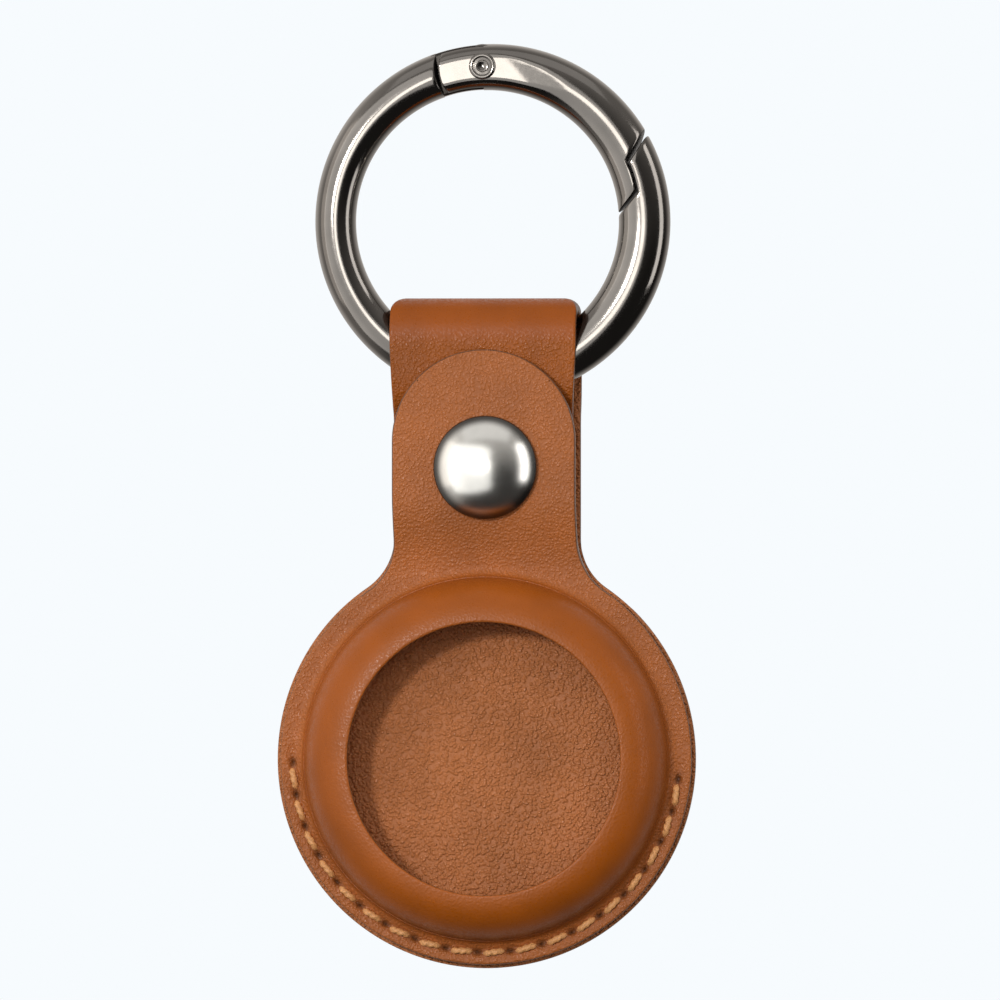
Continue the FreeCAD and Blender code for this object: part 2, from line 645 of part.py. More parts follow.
def dome_shell(near, far):
    """Moulded rim between two depths of leather, turned about the disc's axis."""
    foot = DOME_RADIUS - WINDOW_RADIUS
    level = FLOOR_Y - near

    def crest(inset, angle):
        return Vector(WINDOW_RADIUS + (foot - inset) * math.cos(math.radians(angle)),
                      FLANGE_FRONT - (D.dome_height - inset) * math.sin(math.radians(angle)), 0)

    def quarter(inset):
        middle = Vector(WINDOW_RADIUS, FLANGE_FRONT, 0)
        ellipse = Part.Ellipse(crest(inset, TURN / 4), crest(inset, 0), middle)
        first = ellipse.parameter(crest(inset, 0))
        last = ellipse.parameter(crest(inset, TURN / 4))
        return Part.ArcOfEllipse(ellipse, min(first, last), max(first, last)).toShape()

    outer_inset = LEATHER - far
    inner_inset = LEATHER - near
    corners = [crest(outer_inset, 0), Vector(crest(outer_inset, 0).x, level, 0),
               Vector(crest(inner_inset, 0).x, level, 0), crest(inner_inset, 0)]
    edges = [Part.LineSegment(first, last).toShape() for first, last in zip(corners, corners[1:])]
    edges.append(Part.LineSegment(crest(outer_inset, TURN / 4), crest(inner_inset, TURN / 4)).toShape())
    edges += [quarter(outer_inset), quarter(inner_inset)]
    return turned_about_disc(edges)


def rim_hollow():
    """Ring of leather that rounds the inside corner between flange and rim."""
    root_depth = D.outer_ply / 2
    out = DOME_RADIUS + D.rim_fillet
    up = FLANGE_FRONT - D.rim_fillet
    slope = math.sin(math.radians(TURN / 8)) * D.rim_fillet
    bend_points = [(out, FLANGE_FRONT), (out - slope, up + slope), (DOME_RADIUS, up)]
    arc = Part.Arc(*[Vector(radius, y, 0) for radius, y in bend_points])
    corners = [(DOME_RADIUS, up), (DOME_RADIUS - root_depth, up),
               (DOME_RADIUS - root_depth, FLANGE_FRONT + root_depth), (out, FLANGE_FRONT + root_depth),
               (out, FLANGE_FRONT)]
    points = [Vector(radius, y, 0) for radius, y in corners]
    edges = [Part.LineSegment(first, last).toShape() for first, last in zip(points, points[1:])]
    return turned_about_disc(edges + [arc.toShape()])


def turned_about_disc(edges):
    shape = Part.Face(Part.Wire(Part.__sortEdges__(edges))).revolve(Vector(), Vector(0, 1, 0), TURN)
    shape.translate(Vector(0, 0, DISC_Z))
    return shape


def make_front():
    """Pocket front with its moulded rim and window, and the tongue that flexes above it."""
    moves = [(TONGUE_BEND_FOOT - SHEET_LOW, 0)]
    moves += bend(FLOOR_Y - TONGUE_BACK, D.tongue_bend_length)
    moves += [(TONGUE_TIP - TONGUE_BEND_Z + D.overrun, 0)]
    outline = outline_prism(FRONT_RADIUS, TONGUE_HALF, TONGUE_TIP, TONGUE_HALF)
    rivet_hole = hole(D.rivet_tube_radius + D.snap_clearance, SNAP_Z)
    room = BACK_RADIUS + D.overrun
    corner = Vector(-room, -ACROSS / 2, FLEX_Z + D.flex_gap / 2)
    above = Part.makeBox(room * 2, ACROSS, room * 2, corner)
    below = above.copy()
    below.translate(Vector(0, 0, -room * 2 - D.flex_gap))
    for panel, tongue, near, far in (("front_lining", "tongue_lining", ZERO, D.lining_ply),
                                     ("front_panel", "front_tongue", D.lining_ply, LEATHER)):
        sheet_shape = ply(FLOOR_Y, SHEET_LOW, moves, near, far).common(outline)
        rim = [dome_shell(near, far)]
        if panel == "front_panel":
            rim.append(rim_hollow())
        well = hole(DOME_RADIUS - (LEATHER - far), DISC_Z)
        leather_piece(panel, sheet_shape.common(below).cut(well).fuse(rim))
        leather_piece(tongue, sheet_shape.common(above).cut(rivet_hole))


# Snap: the cap side on the tongue, the stud side on flap and strap

def make_snap():
    centre = (0, 0, SNAP_Z)
    rim = TONGUE_FRONT - D.cap_rim
    inner = D.cap_radius - D.cap_wall
    crown = root(D.cap_crown_radius * D.cap_crown_radius - D.cap_radius * D.cap_radius)
    top = rim - (D.cap_crown_radius - crown)
    inner_crown = D.cap_crown_radius - D.cap_wall
    inner_rim = top + D.cap_wall + inner_crown - root(inner_crown * inner_crown - inner * inner)
    turned("snap_cap", [(ZERO, top, D.cap_crown_radius, -1), (ZERO, top + D.cap_wall),
                        (inner, inner_rim, inner_crown, 1), (inner, TONGUE_FRONT),
                        (D.cap_radius, TONGUE_FRONT), (D.cap_radius, rim)], centre)
    flange_front = TONGUE_FRONT - D.rivet_flange_thickness
    flange_radius = inner - D.rivet_flange_gap
    socket_face = TONGUE_BACK + D.socket_flange_thickness
    roll = socket_face + D.rivet_roll_thickness
    turned("snap_cap_rivet", [(D.rivet_bore_radius, flange_front), (flange_radius, flange_front),
                              (flange_radius, TONGUE_FRONT), (D.rivet_tube_radius, TONGUE_FRONT),
                              (D.rivet_tube_radius, socket_face), (D.rivet_roll_radius, socket_face),
                              (D.rivet_roll_radius, roll), (D.rivet_bore_radius, roll)], centre)
    flange_top = FLAP_FRONT - D.stud_flange_thickness
    mouth = flange_top - D.socket_stand_off
    lip = mouth - D.socket_lip_thickness
    groove = lip - D.grip_wire_radius * 2 - D.snap_clearance * 2
    turned("snap_socket", [(D.rivet_tube_radius, TONGUE_BACK), (D.socket_flange_radius, TONGUE_BACK),
                           (D.socket_flange_radius, socket_face), (D.socket_cup_radius, socket_face),
                           (D.socket_cup_radius, mouth), (D.socket_lip_radius, mouth),
                           (D.socket_lip_radius, lip), (D.socket_groove_radius, lip),
                           (D.socket_groove_radius, groove), (D.socket_bore_radius, groove),
                           (D.socket_bore_radius, socket_face), (D.rivet_tube_radius, socket_face)], centre)
    grip = doc.addObject("Part::Torus", "snap_socket_spring")
    grip_turn = Rotation(Vector(1, 0, 0), -90)
    grip.Placement = Placement(Vector(), grip_turn)
    bind(grip, {"Radius1": D.grip_ring_radius, "Radius2": D.grip_wire_radius})
    bind(grip, {"Angle3": TURN - D.grip_opening_angle})
    bind(grip, {"Placement.Base.y": (lip + groove) / 2, "Placement.Base.z": SNAP_Z})
    finish(grip, "snap_socket_spring")
    neck = flange_top - D.stud_neck_length
    bulge = neck - D.stud_bulge_length
    stud_top = roll + D.stud_top_gap
    post_end = stud_top + D.stud_cover
    turned("snap_stud", [(ZERO, stud_top), (ZERO, post_end), (D.stud_bore_radius, post_end),
                         (D.stud_bore_radius, FLAP_FRONT), (D.stud_flange_radius, FLAP_FRONT),
                         (D.stud_flange_radius, flange_top), (D.stud_neck_radius, flange_top),
                         (D.stud_neck_radius, neck), (D.stud_head_radius, bulge),
                         (D.stud_top_radius, stud_top)], centre)
    rim_back = STRAP_BACK + D.post_rim_thickness
    head_back = rim_back + D.post_crown
    turned("snap_post", [(ZERO, post_end), (ZERO, head_back), (D.post_flat_radius, head_back),
                         (D.post_head_radius, rim_back), (D.post_head_radius, STRAP_BACK),
                         (D.stud_bore_radius, STRAP_BACK), (D.stud_bore_radius, post_end)], centre)


# Seam round the lower half of the flange

def stitch_hoop(radius, along):
    corners = []
    for index in range(STITCH_SIDE_COUNT + 1):
        angle = math.radians(TURN * index / STITCH_SIDE_COUNT)
        corners.append(Vector(radius * math.cos(angle), along, radius * math.sin(angle)))
    return Part.makePolygon(corners)


def make_seam(label, level):
    """Row of plump stitches, few-sided because they repeat, that lie on one face of the flange."""
    step = (D.seam_end_angle - D.seam_start_angle) / STITCH_COUNT
    chord = 2 * SEAM_RADIUS * math.sin(math.radians(step / 2))
    length = chord * STITCH_LENGTH_SHARE
    taper = length * STITCH_TAPER_SHARE
    end_radius = D.thread_radius * STITCH_END_SHARE
    hoops = [stitch_hoop(end_radius, 0), stitch_hoop(D.thread_radius, taper),
             stitch_hoop(D.thread_radius, length - taper), stitch_hoop(end_radius, length)]
    stitch = Part.makeLoft(hoops, True, True)
    row = []
    for index in range(STITCH_COUNT):
        angle = math.radians(D.seam_start_angle + step * index + step / 2)
        along = Vector(-math.sin(angle), 0, math.cos(angle))
        middle = Vector(math.cos(angle), 0, math.sin(angle)) * SEAM_RADIUS
        copy = stitch.copy()
        base = middle - along * (length / 2) + Vector(0, level, DISC_Z)
        copy.Placement = Placement(base, Rotation(Vector(0, 1, 0), along))
        row.append(copy)
    seam = doc.addObject("Part::Feature", label)
    seam.Shape = Part.makeCompound(row)
    seam.Placement = Placement()
    finish(seam, label)


make_ring_body()
make_ring_gate()
make_gate_pin()
make_gate_plunger()
make_gate_spring()
make_back()
make_front()
make_snap()
make_seam("seam_top_stitches", FLANGE_FRONT - D.thread_radius)
make_seam("seam_bobbin_stitches", DISC_BACK + D.thread_radius)
doc.recompute()

for item in doc.Objects:
    if "Invalid" in item.State or "Error" in item.State:
        raise RuntimeError("%s failed to build" % item.Label)
os.makedirs("parts", exist_ok=True)
for piece in finished:
    if piece.Shape.isNull() or not piece.Shape.isValid():
        raise RuntimeError("%s has no valid shape" % piece.Label)
    piece.Shape.exportStep("parts/%s.step" % piece.Label)
    print(piece.Label, len(piece.Shape.Solids), round(piece.Shape.Volume, 3))
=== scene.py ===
import json
import math

import bmesh
import bpy
from mathutils import Matrix, Vector


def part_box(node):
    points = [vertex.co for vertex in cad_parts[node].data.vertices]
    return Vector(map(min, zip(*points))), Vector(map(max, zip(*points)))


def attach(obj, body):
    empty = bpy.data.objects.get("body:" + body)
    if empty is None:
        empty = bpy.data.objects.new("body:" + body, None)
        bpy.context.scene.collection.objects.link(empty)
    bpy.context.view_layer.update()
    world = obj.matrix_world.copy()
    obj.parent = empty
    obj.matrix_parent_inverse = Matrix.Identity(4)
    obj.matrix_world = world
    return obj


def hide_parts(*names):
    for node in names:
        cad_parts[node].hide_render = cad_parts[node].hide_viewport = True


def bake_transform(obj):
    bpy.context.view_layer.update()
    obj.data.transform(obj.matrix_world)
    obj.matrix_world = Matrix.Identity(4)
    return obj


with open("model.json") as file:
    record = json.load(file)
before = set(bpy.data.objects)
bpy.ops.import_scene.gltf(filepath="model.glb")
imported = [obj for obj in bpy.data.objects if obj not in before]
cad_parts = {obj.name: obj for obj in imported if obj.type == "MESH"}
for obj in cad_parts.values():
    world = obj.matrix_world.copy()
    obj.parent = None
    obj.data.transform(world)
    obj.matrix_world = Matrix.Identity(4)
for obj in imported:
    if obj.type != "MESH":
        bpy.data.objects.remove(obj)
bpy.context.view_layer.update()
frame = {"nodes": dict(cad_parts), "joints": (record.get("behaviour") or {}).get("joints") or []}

# Meshes are shaped in millimetres on the frame's axes and scaled to metres when they are finished.
MM = 0.001
NEARLY = 1e-3
WELD = 1e-4


def span(name):
    """Lowest and highest corner of a CAD node, in millimetres."""
    low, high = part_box(name)
    return low / MM, high / MM


# Levels and radii that the frame gives
back_low, back_high = span("back_panel")
front_low, front_high = span("front_panel")
tongue_low, tongue_high = span("front_tongue")
cap_low, cap_high = span("snap_cap")
BACK_RADIUS = back_high.x
DISC_Z = back_low.z + BACK_RADIUS
LOOP_TOP = back_high.z
FRONT_RADIUS = front_high.x
RIM_CREST = front_low.y
TONGUE_TIP = tongue_high.z
TONGUE_FRONT = tongue_low.y
FLOOR_Y = span("front_lining")[1].y
CAP_RADIUS = cap_high.x
CAP_TOP = cap_low.y
SNAP_Z = (cap_low.z + cap_high.z) / 2
pivots = {joint["name"]: Vector(joint["pos_m"]) / MM for joint in frame["joints"] if "pos_m" in joint}
FLEX = pivots["tongue_flex"]
PIN = pivots["gate_swing"]
ring_low, ring_high = span("ring_body")
RING_OUTER = (ring_high.x - ring_low.x) / 2
RING_SHIFT = (ring_high.x + ring_low.x) / 2
RING_DEPTH = ring_high.y
pin_high = span("gate_pin")[1]
PIN_FACE = pin_high.y
PIN_HEAD = pin_high.x - PIN.x

# Ring
RING_INNER = 12.7
LAP_RADIUS = (RING_INNER + RING_OUTER) / 2
HEEL_RADIUS = 4.25
HEEL_GAP = 0.38
LIP_ANGLE = math.radians(23.2)
TOE_ANGLE = math.radians(3.75)
NOSE_GAP = 0.22
NOSE_SLANT = 0.2
LIP_FLARE = 0.26
FACET_DEPTH = 1.65
FACET_END = 2.6
FACET_RAMP = 5.2
FACET_LEAN = 1.1
TENON_THICKNESS = 1.6
TENON_INSET = 0.05
TENON_ROUND = 0.3
EYE_INSET = 0.08
EYE_RADIUS = (RING_OUTER - RING_INNER) / 2 - EYE_INSET
SLOT_GAP = 0.1
SLOT_HALF = TENON_THICKNESS / 2 + SLOT_GAP
SLOT_REACH = 0.1
LAP_GAP = 0.2
LAP_SLANT = 0.15
BAR_ROUND = 0.18
LAP_LINE = 14
NOSE_COLUMNS = 5
GATE_COLUMNS = 44
BODY_COLUMNS = 150
CORNER_ANGLE = 0.5
SLOT_MARGIN = 1.0
TENON_ROOT = HEEL_RADIUS + 3 * HEEL_GAP
NOSE_SEARCH = math.radians(-30), math.radians(80)
HEEL_SEARCH = math.radians(130), math.radians(92)
HALVINGS = 36

# Rivet head: dimple, boss, groove and land from its middle outwards
PIN_SHANK = 0.75
PIN_SINK = 0.3
DIMPLE_RADIUS = 0.26
DIMPLE_DEPTH = 0.16
DIMPLE_CROWN = 0.03
BOSS_INNER = 0.36
BOSS_OUTER = 0.52
GROOVE_INNER = 0.6
GROOVE_OUTER = 0.84
PIN_GROOVE_DEPTH = 0.14
LAND_INNER = 0.92
LAND_OUTER = 1.1
LAND_ROUND = 0.05
LAND_FALL = 0.08
EDGE_FALL = 0.02

# Snap cap
CAP_RIM = 0.55
CAP_ROLL = 0.38
CAP_ROLL_LIFT = 0.42
CAP_ROLL_START = 0.3
CAP_ROLL_TURN = 0.9
CAP_SEAT_OUTER = 0.5
CAP_SEAT_INNER = 1.0
CAP_TURN_STEP = 0.03

# Leather
OUTER_PLY = 0.75
LINING_PLY = 0.5
LEATHER = OUTER_PLY + LINING_PLY
FLANGE_FRONT = FLOOR_Y - LEATHER
WINDOW_RADIUS = 13.15
RIM_FOOT = 17.6
RIM_HOLLOW = 0.9
RIM_HEIGHT = FLANGE_FRONT - RIM_CREST
TONGUE_BEND_FOOT = -34.2
TONGUE_BEND_LENGTH = 7.6
NECK_ANGLE = math.radians(35)
NECK_SHOULDER = math.radians(2.5)
NECK_SECTOR = NECK_ANGLE + NECK_SHOULDER
STRAP_HALF = 9.0
TONGUE_INSET = 0.15
TONGUE_HALF = STRAP_HALF - TONGUE_INSET
STRAP_FACE = 0.05
STRAP_BEND_TOP = -29.0
STRAP_BEND_LENGTH = 8.5
THROAT_TOP = -15.3
THROAT_LENGTH = 4.5
LOOP_HALF = back_high.y - LEATHER
FOLD_Z = LOOP_TOP - LEATHER - LOOP_HALF
FOLD_LENGTH = math.pi * (LOOP_HALF + LEATHER / 2)
FLAP_END = -28.4
LOOP_CORNER = 1.2
FOLD_SKEW = 0.34
FLAP_NARROWING = 0.35
TONGUE_SKEW = 0.18
EDGE_ROUND = 0.22
LINING_ROUND = 0.12
EDGE_MARGIN = 0.26
RING_MARGIN = 1.5
LAST_RING = EDGE_MARGIN * RING_MARGIN
SHORTEST_EDGE = 0.02

# How finely the leather is cut up for bending
DISC_STEPS = 576
RIM_TURN_STEP = 0.06
HOLLOW_TURN_STEP = 0.3
FRONT_RING_STEP = 0.16
BACK_RING_STEP = 0.17
TONGUE_CUT_STEP = 0.4
CUT_LEAD = 0.2
TIP_LEAD = 1.0
TONGUE_CUT_FOOT = TONGUE_BEND_FOOT - CUT_LEAD
TONGUE_CUT_TOP = TONGUE_TIP - TIP_LEAD
STRAP_CUT_STEP = 0.42
SIDE_CUT_REACH = 6.4
SIDE_CUT_STEP = 1.6

# Seam
SEAM_RADIUS = 18.65
SEAM_START = math.radians(181)
SEAM_END = math.radians(354)
STITCH_COUNT = 18
STITCH_STEP = (SEAM_END - SEAM_START) / STITCH_COUNT
STITCH_SHARE = 0.36
STITCH_HALF = SEAM_RADIUS * STITCH_STEP * STITCH_SHARE
STITCH_SLANT = math.radians(6)
STITCH_SINK = 0.5
STITCH_LIFT = 0.12
THREAD_RADIUS = 0.3
THREAD_FLATNESS = 0.8
THREAD_PLY = 0.16
THREAD_TWIST = 5.2
THREAD_BLUNTNESS = 3.2
THREAD_TAPER = 0.45
HOLE_RADIUS = 0.3
HOLE_DEPTH = 0.4
HOLE_SLIMNESS = 0.3
SEAM_GROOVE_DEPTH = 0.12
SEAM_GROOVE_SPREAD = 0.16

# Distances over which a finish, and the painted shade at the snap cap's rim, fade in and out
RIM_FADE_OUT = 0.5
RIM_FADE_IN = 0.2
WINDOW_FADE = 2.2
FOLD_FADE_OUT = 1.4
FOLD_FADE_IN = 0.4
CAP_FADE_OUT = 0.2
CAP_FADE_IN = 1.1


# Meshes

def finish_piece(name, bm, materials, slot, smooth_angle=40):
    """Turn a bmesh in millimetres into a smooth-shaded piece in metres."""
    bmesh.ops.scale(bm, vec=Vector((MM, MM, MM)), verts=bm.verts)
    for face in bm.faces:
        face.smooth = True
    mesh = bpy.data.meshes.new(name)
    bm.to_mesh(mesh)
    bm.free()
    mesh.set_sharp_from_angle(angle=math.radians(smooth_angle))
    piece = bpy.data.objects.new(name, mesh)
    bpy.context.scene.collection.objects.link(piece)
    for material in materials:
        mesh.materials.append(material)
    return piece


def arc(centre, radius, first, last, count):
    """Points (x, z) along an arc, its ends included."""
    angles = [first + (last - first) * index / count for index in range(count + 1)]
    return [(centre[0] + radius * math.cos(angle), centre[1] + radius * math.sin(angle)) for angle in angles]


def s_curve(travel, length, shift):
    """Sideways shift of a double bend of two equal arcs, after some travel along its length."""
    travel = min(max(travel, 0.0), length)
    radius = (length * length + shift * shift) / (4 * abs(shift))
    near = min(travel, length - travel)
    rise = math.copysign(radius - math.sqrt(radius * radius - near * near), shift)
    return rise if travel < length / 2 else shift - rise


def ease(share):
    """Smooth step from nought to one."""
    share = min(max(share, 0.0), 1.0)
    return share * share * (3 - 2 * share)


def set_off(level, z, inset):
    """Point (y, z) that lies an inset behind a sheet whose face runs at level(z)."""
    step = 0.01
    slope = (level(z + step) - level(z - step)) / (2 * step)
    size = math.sqrt(1 + slope * slope)
    return level(z) + inset / size, z - inset * slope / size


def slice_flat(bm, faces, axis, levels):
    """Cut a flat region into strips across one axis."""
    region = set(faces)
    for level in levels:
        geometry = list(region) + list({edge for face in region for edge in face.edges})
        geometry += list({vert for face in region for vert in face.verts})
        made = bmesh.ops.bisect_plane(bm, geom=geometry, plane_co=axis * level, plane_no=axis, dist=1e-6)
        region = {item for item in made["geom"] if isinstance(item, bmesh.types.BMFace)}
    return region


def steps(first, last, size):
    """Even steps from first to last, none larger than size."""
    count = math.ceil((last - first) / size)
    return [first + (last - first) * index / count for index in range(count + 1)]


def thicken(bm, place, near, far, round_near, round_far):
    """Give a flat pattern its two faces by place(x, z, depth), and round the edges that show."""
    bmesh.ops.inset_region(bm, faces=bm.faces[:], thickness=EDGE_MARGIN, use_boundary=True,
                           use_even_offset=True)
    # Each vertex keeps its nearness to a needle hole; the leather materials darken the holes by it as painted
    # shade.
    hole = bm.verts.layers.float.new("needle_hole")
    first = set(bm.verts)
    for vert in first:
        vert[hole] = needle_hole(vert.co.x, vert.co.z)
    made = bmesh.ops.extrude_face_region(bm, geom=bm.faces[:], use_keep_orig=True)
    second = {item for item in made["geom"] if isinstance(item, bmesh.types.BMVert)}
    for face in bm.faces:
        ends = sum(vert in second for vert in face.verts)
        face.material_index = 1 if 0 < ends < len(face.verts) else 0
    rims = {near: [], far: []}
    for edge in bm.edges:
        kinds = {face.material_index for face in edge.link_faces}
        if kinds == {0, 1}:
            rims[far if edge.verts[0] in second else near].append(edge)
    for verts, depth in ((first, near), (second, far)):
        for vert in verts:
            vert.co = place(vert.co.x, vert.co.z, depth)
    bmesh.ops.recalc_face_normals(bm, faces=bm.faces[:])
    for depth, width in ((near, round_near), (far, round_far)):
        if width:
            bmesh.ops.bevel(bm, geom=rims[depth], offset=width, segments=3, profile=0.5, affect="EDGES",
                            material=-1, clamp_overlap=True)


# Front leather: flange, moulded rim and window, neck and tongue in one piece

def front_level(z):
    """Front face of the flange, neck and tongue."""
    return FLANGE_FRONT + (TONGUE_FRONT - FLANGE_FRONT) * ease((z - TONGUE_BEND_FOOT) / TONGUE_BEND_LENGTH)


def seam_place(x, z):
    """Distance along the seam from the nearest needle hole, and distance across it."""
    across = math.hypot(x, z - DISC_Z) - SEAM_RADIUS
    turn = (math.atan2(z - DISC_Z, x) - SEAM_START + STITCH_STEP) % (2 * math.pi) - STITCH_STEP
    nearest = min(max(round(turn / STITCH_STEP), 0), STITCH_COUNT)
    return (turn - nearest * STITCH_STEP) * SEAM_RADIUS, across


def needle_hole(x, z):
    """One at a needle hole, falling off round it."""
    along, across = seam_place(x, z)
    return math.exp(-(along * along * HOLE_SLIMNESS + across * across) / (HOLE_RADIUS * HOLE_RADIUS))


def needle_dent(x, z):
    """Depth of the stitch line's groove and of the needle holes in it."""
    along, across = seam_place(x, z)
    groove = 0.0
    if abs(along) < SEAM_RADIUS * STITCH_STEP / 2:
        groove = SEAM_GROOVE_DEPTH * math.exp(-across * across / SEAM_GROOVE_SPREAD)
    return max(HOLE_DEPTH * needle_hole(x, z), groove)


def front_place(x, z, inset):
    """Place on the moulded front, an inset behind its face."""
    reach = math.hypot(x, z - DISC_Z)
    foot = RIM_FOOT - WINDOW_RADIUS
    if reach < RIM_FOOT - WELD:
        angle = math.acos(min(max((reach - WINDOW_RADIUS) / foot, 0.0), 1.0))
        scale = (WINDOW_RADIUS + (foot - inset) * math.cos(angle)) / reach
        y = FLANGE_FRONT - (RIM_HEIGHT - inset) * math.sin(angle)
        return Vector((x * scale, y, DISC_Z + (z - DISC_Z) * scale))
    y, low_z = set_off(front_level, z, inset)
    if inset == 0:
        hollow = min(max(RIM_FOOT + RIM_HOLLOW - reach, 0.0), RIM_HOLLOW)
        y -= RIM_HOLLOW - math.sqrt(RIM_HOLLOW * RIM_HOLLOW - hollow * hollow)
        y += needle_dent(x, z)
    return Vector((x - TONGUE_SKEW * ease((z - FLEX.z) / TONGUE_BEND_LENGTH), y, low_z))


def flat_pattern(reaches, root, half, top):
    """Rings of the given radii about the disc's centre, and above their root a neck that ends in top."""
    bm = bmesh.new()
    profile = [bm.verts.new((0, 0, DISC_Z + reach)) for reach in reaches]
    edges = [bm.edges.new(pair) for pair in zip(profile, profile[1:])]
    centre = Vector((0, 0, DISC_Z))
    bmesh.ops.spin(bm, geom=profile + edges, cent=centre, axis=Vector((0, 1, 0)), angle=2 * math.pi,
                   steps=DISC_STEPS, use_merge=True)
    bmesh.ops.remove_doubles(bm, verts=bm.verts[:], dist=WELD)

    def turn(vert):
        return math.atan2(vert.co.x, vert.co.z - DISC_Z)

    def is_above(vert):
        return abs(turn(vert)) < NECK_SECTOR + NEARLY and (vert.co - centre).length > root - NEARLY

    # The flange gives way to the neck between its two fillets.
    lost = [face for face in bm.faces if all(is_above(vert) for vert in face.verts)]
    bmesh.ops.delete(bm, geom=lost, context="FACES")
    open_verts = {vert for edge in bm.edges if edge.is_boundary for vert in edge.verts}
    bounds = [vert for vert in open_verts if is_above(vert)]

    def across(vert):
        return vert.co.x

    right_side = sorted((vert for vert in bounds if turn(vert) > NECK_SECTOR - NEARLY), key=across)
    left_side = sorted((vert for vert in bounds if turn(vert) < NEARLY - NECK_SECTOR), key=across)
    floor_arc = sorted((vert for vert in bounds if abs(turn(vert)) < NECK_SECTOR - NEARLY), key=turn)
    radius = reaches[-1]
    shoulder = arc((0, DISC_Z), radius, math.pi / 2 - NECK_SECTOR, math.pi / 2 - NECK_ANGLE, 4)[1:]
    fillet = (radius * math.sin(NECK_ANGLE) - half) / (1 - math.sin(NECK_ANGLE))
    fillet_z = DISC_Z + (radius + fillet) * math.cos(NECK_ANGLE)
    right = shoulder + arc((half + fillet, fillet_z), fillet, 1.5 * math.pi - NECK_ANGLE, math.pi, 22)[1:]
    left = [(-x, z) for x, z in reversed(right)]
    outline = [bm.verts.new((x, 0, z)) for x, z in right + top + left]
    neck = bm.faces.new(left_side + floor_arc + right_side + outline)
    return bm, neck


def front_pattern():
    """Flat pattern of the front: rim, flange, neck and round tongue."""
    foot = RIM_FOOT - WINDOW_RADIUS
    low_angle = math.asin(RIM_HOLLOW / RIM_HEIGHT)
    rim_angles = reversed(steps(low_angle, math.pi / 2, RIM_TURN_STEP))
    hollow_angles = reversed(steps(0, math.pi / 2, HOLLOW_TURN_STEP))
    reaches = [WINDOW_RADIUS + foot * math.cos(angle) for angle in rim_angles]
    reaches += [RIM_FOOT + RIM_HOLLOW * (1 - math.sin(angle)) for angle in hollow_angles]
    flange = steps(RIM_FOOT + RIM_HOLLOW, FRONT_RADIUS - LAST_RING, FRONT_RING_STEP)[1:]
    tip = arc((0, TONGUE_TIP - TONGUE_HALF), TONGUE_HALF, 0, math.pi, 96)
    bm, neck = flat_pattern(reaches + flange + [FRONT_RADIUS], flange[0], TONGUE_HALF, tip)
    cuts = steps(TONGUE_CUT_FOOT, TONGUE_CUT_TOP, TONGUE_CUT_STEP)
    neck_faces = slice_flat(bm, [neck], Vector((0, 0, 1)), cuts)
    slice_flat(bm, neck_faces, Vector((1, 0, 0)), steps(-SIDE_CUT_REACH, SIDE_CUT_REACH, SIDE_CUT_STEP))
    bmesh.ops.remove_doubles(bm, verts=bm.verts[:], dist=SHORTEST_EDGE)
    return bm


def make_front(name, near, far, materials, slot, round_near, round_far):
    """One ply of the front, between two depths behind its face."""
    bm = front_pattern()
    thicken(bm, front_place, near, far, round_near, round_far)
    return finish_piece(name, bm, materials, slot)


# Back leather: disc and strap, folded over the ring and back on itself as a flap

def strap_level(z):
    """Face of the lining: pocket floor, strap, and the inside of the loop's back wall."""
    bend = s_curve(z - STRAP_BEND_TOP + STRAP_BEND_LENGTH, STRAP_BEND_LENGTH, STRAP_FACE - FLOOR_Y)
    throat = s_curve(z - THROAT_TOP + THROAT_LENGTH, THROAT_LENGTH, LOOP_HALF - STRAP_FACE)
    return FLOOR_Y + bend + throat


def back_place(x, travel, inset):
    """Place on the folded strap; travel is the height up to the fold and runs on over it."""
    if travel < FOLD_Z:
        y, z = set_off(strap_level, travel, inset)
        if inset == LEATHER:
            y -= needle_dent(x, z)
    elif travel < FOLD_Z + FOLD_LENGTH:
        angle = math.pi * (travel - FOLD_Z) / FOLD_LENGTH
        y = (LOOP_HALF + inset) * math.cos(angle)
        z = FOLD_Z + (LOOP_HALF + inset) * math.sin(angle)
    else:
        y, z = set_off(strap_level, 2 * FOLD_Z + FOLD_LENGTH - travel, inset)
        y = -y
    above = min(max(z - LOOP_TOP + LOOP_CORNER, 0.0), LOOP_CORNER)
    drawn_in = LOOP_CORNER - math.sqrt(LOOP_CORNER * LOOP_CORNER - above * above)
    over = ease((travel - FOLD_Z) / FOLD_LENGTH)
    narrowed = FLAP_NARROWING * over * ease((FOLD_Z - z) / (FOLD_Z - THROAT_TOP + THROAT_LENGTH))
    x *= 1 - (drawn_in + narrowed) / STRAP_HALF
    return Vector((x - FOLD_SKEW * over, y, z))


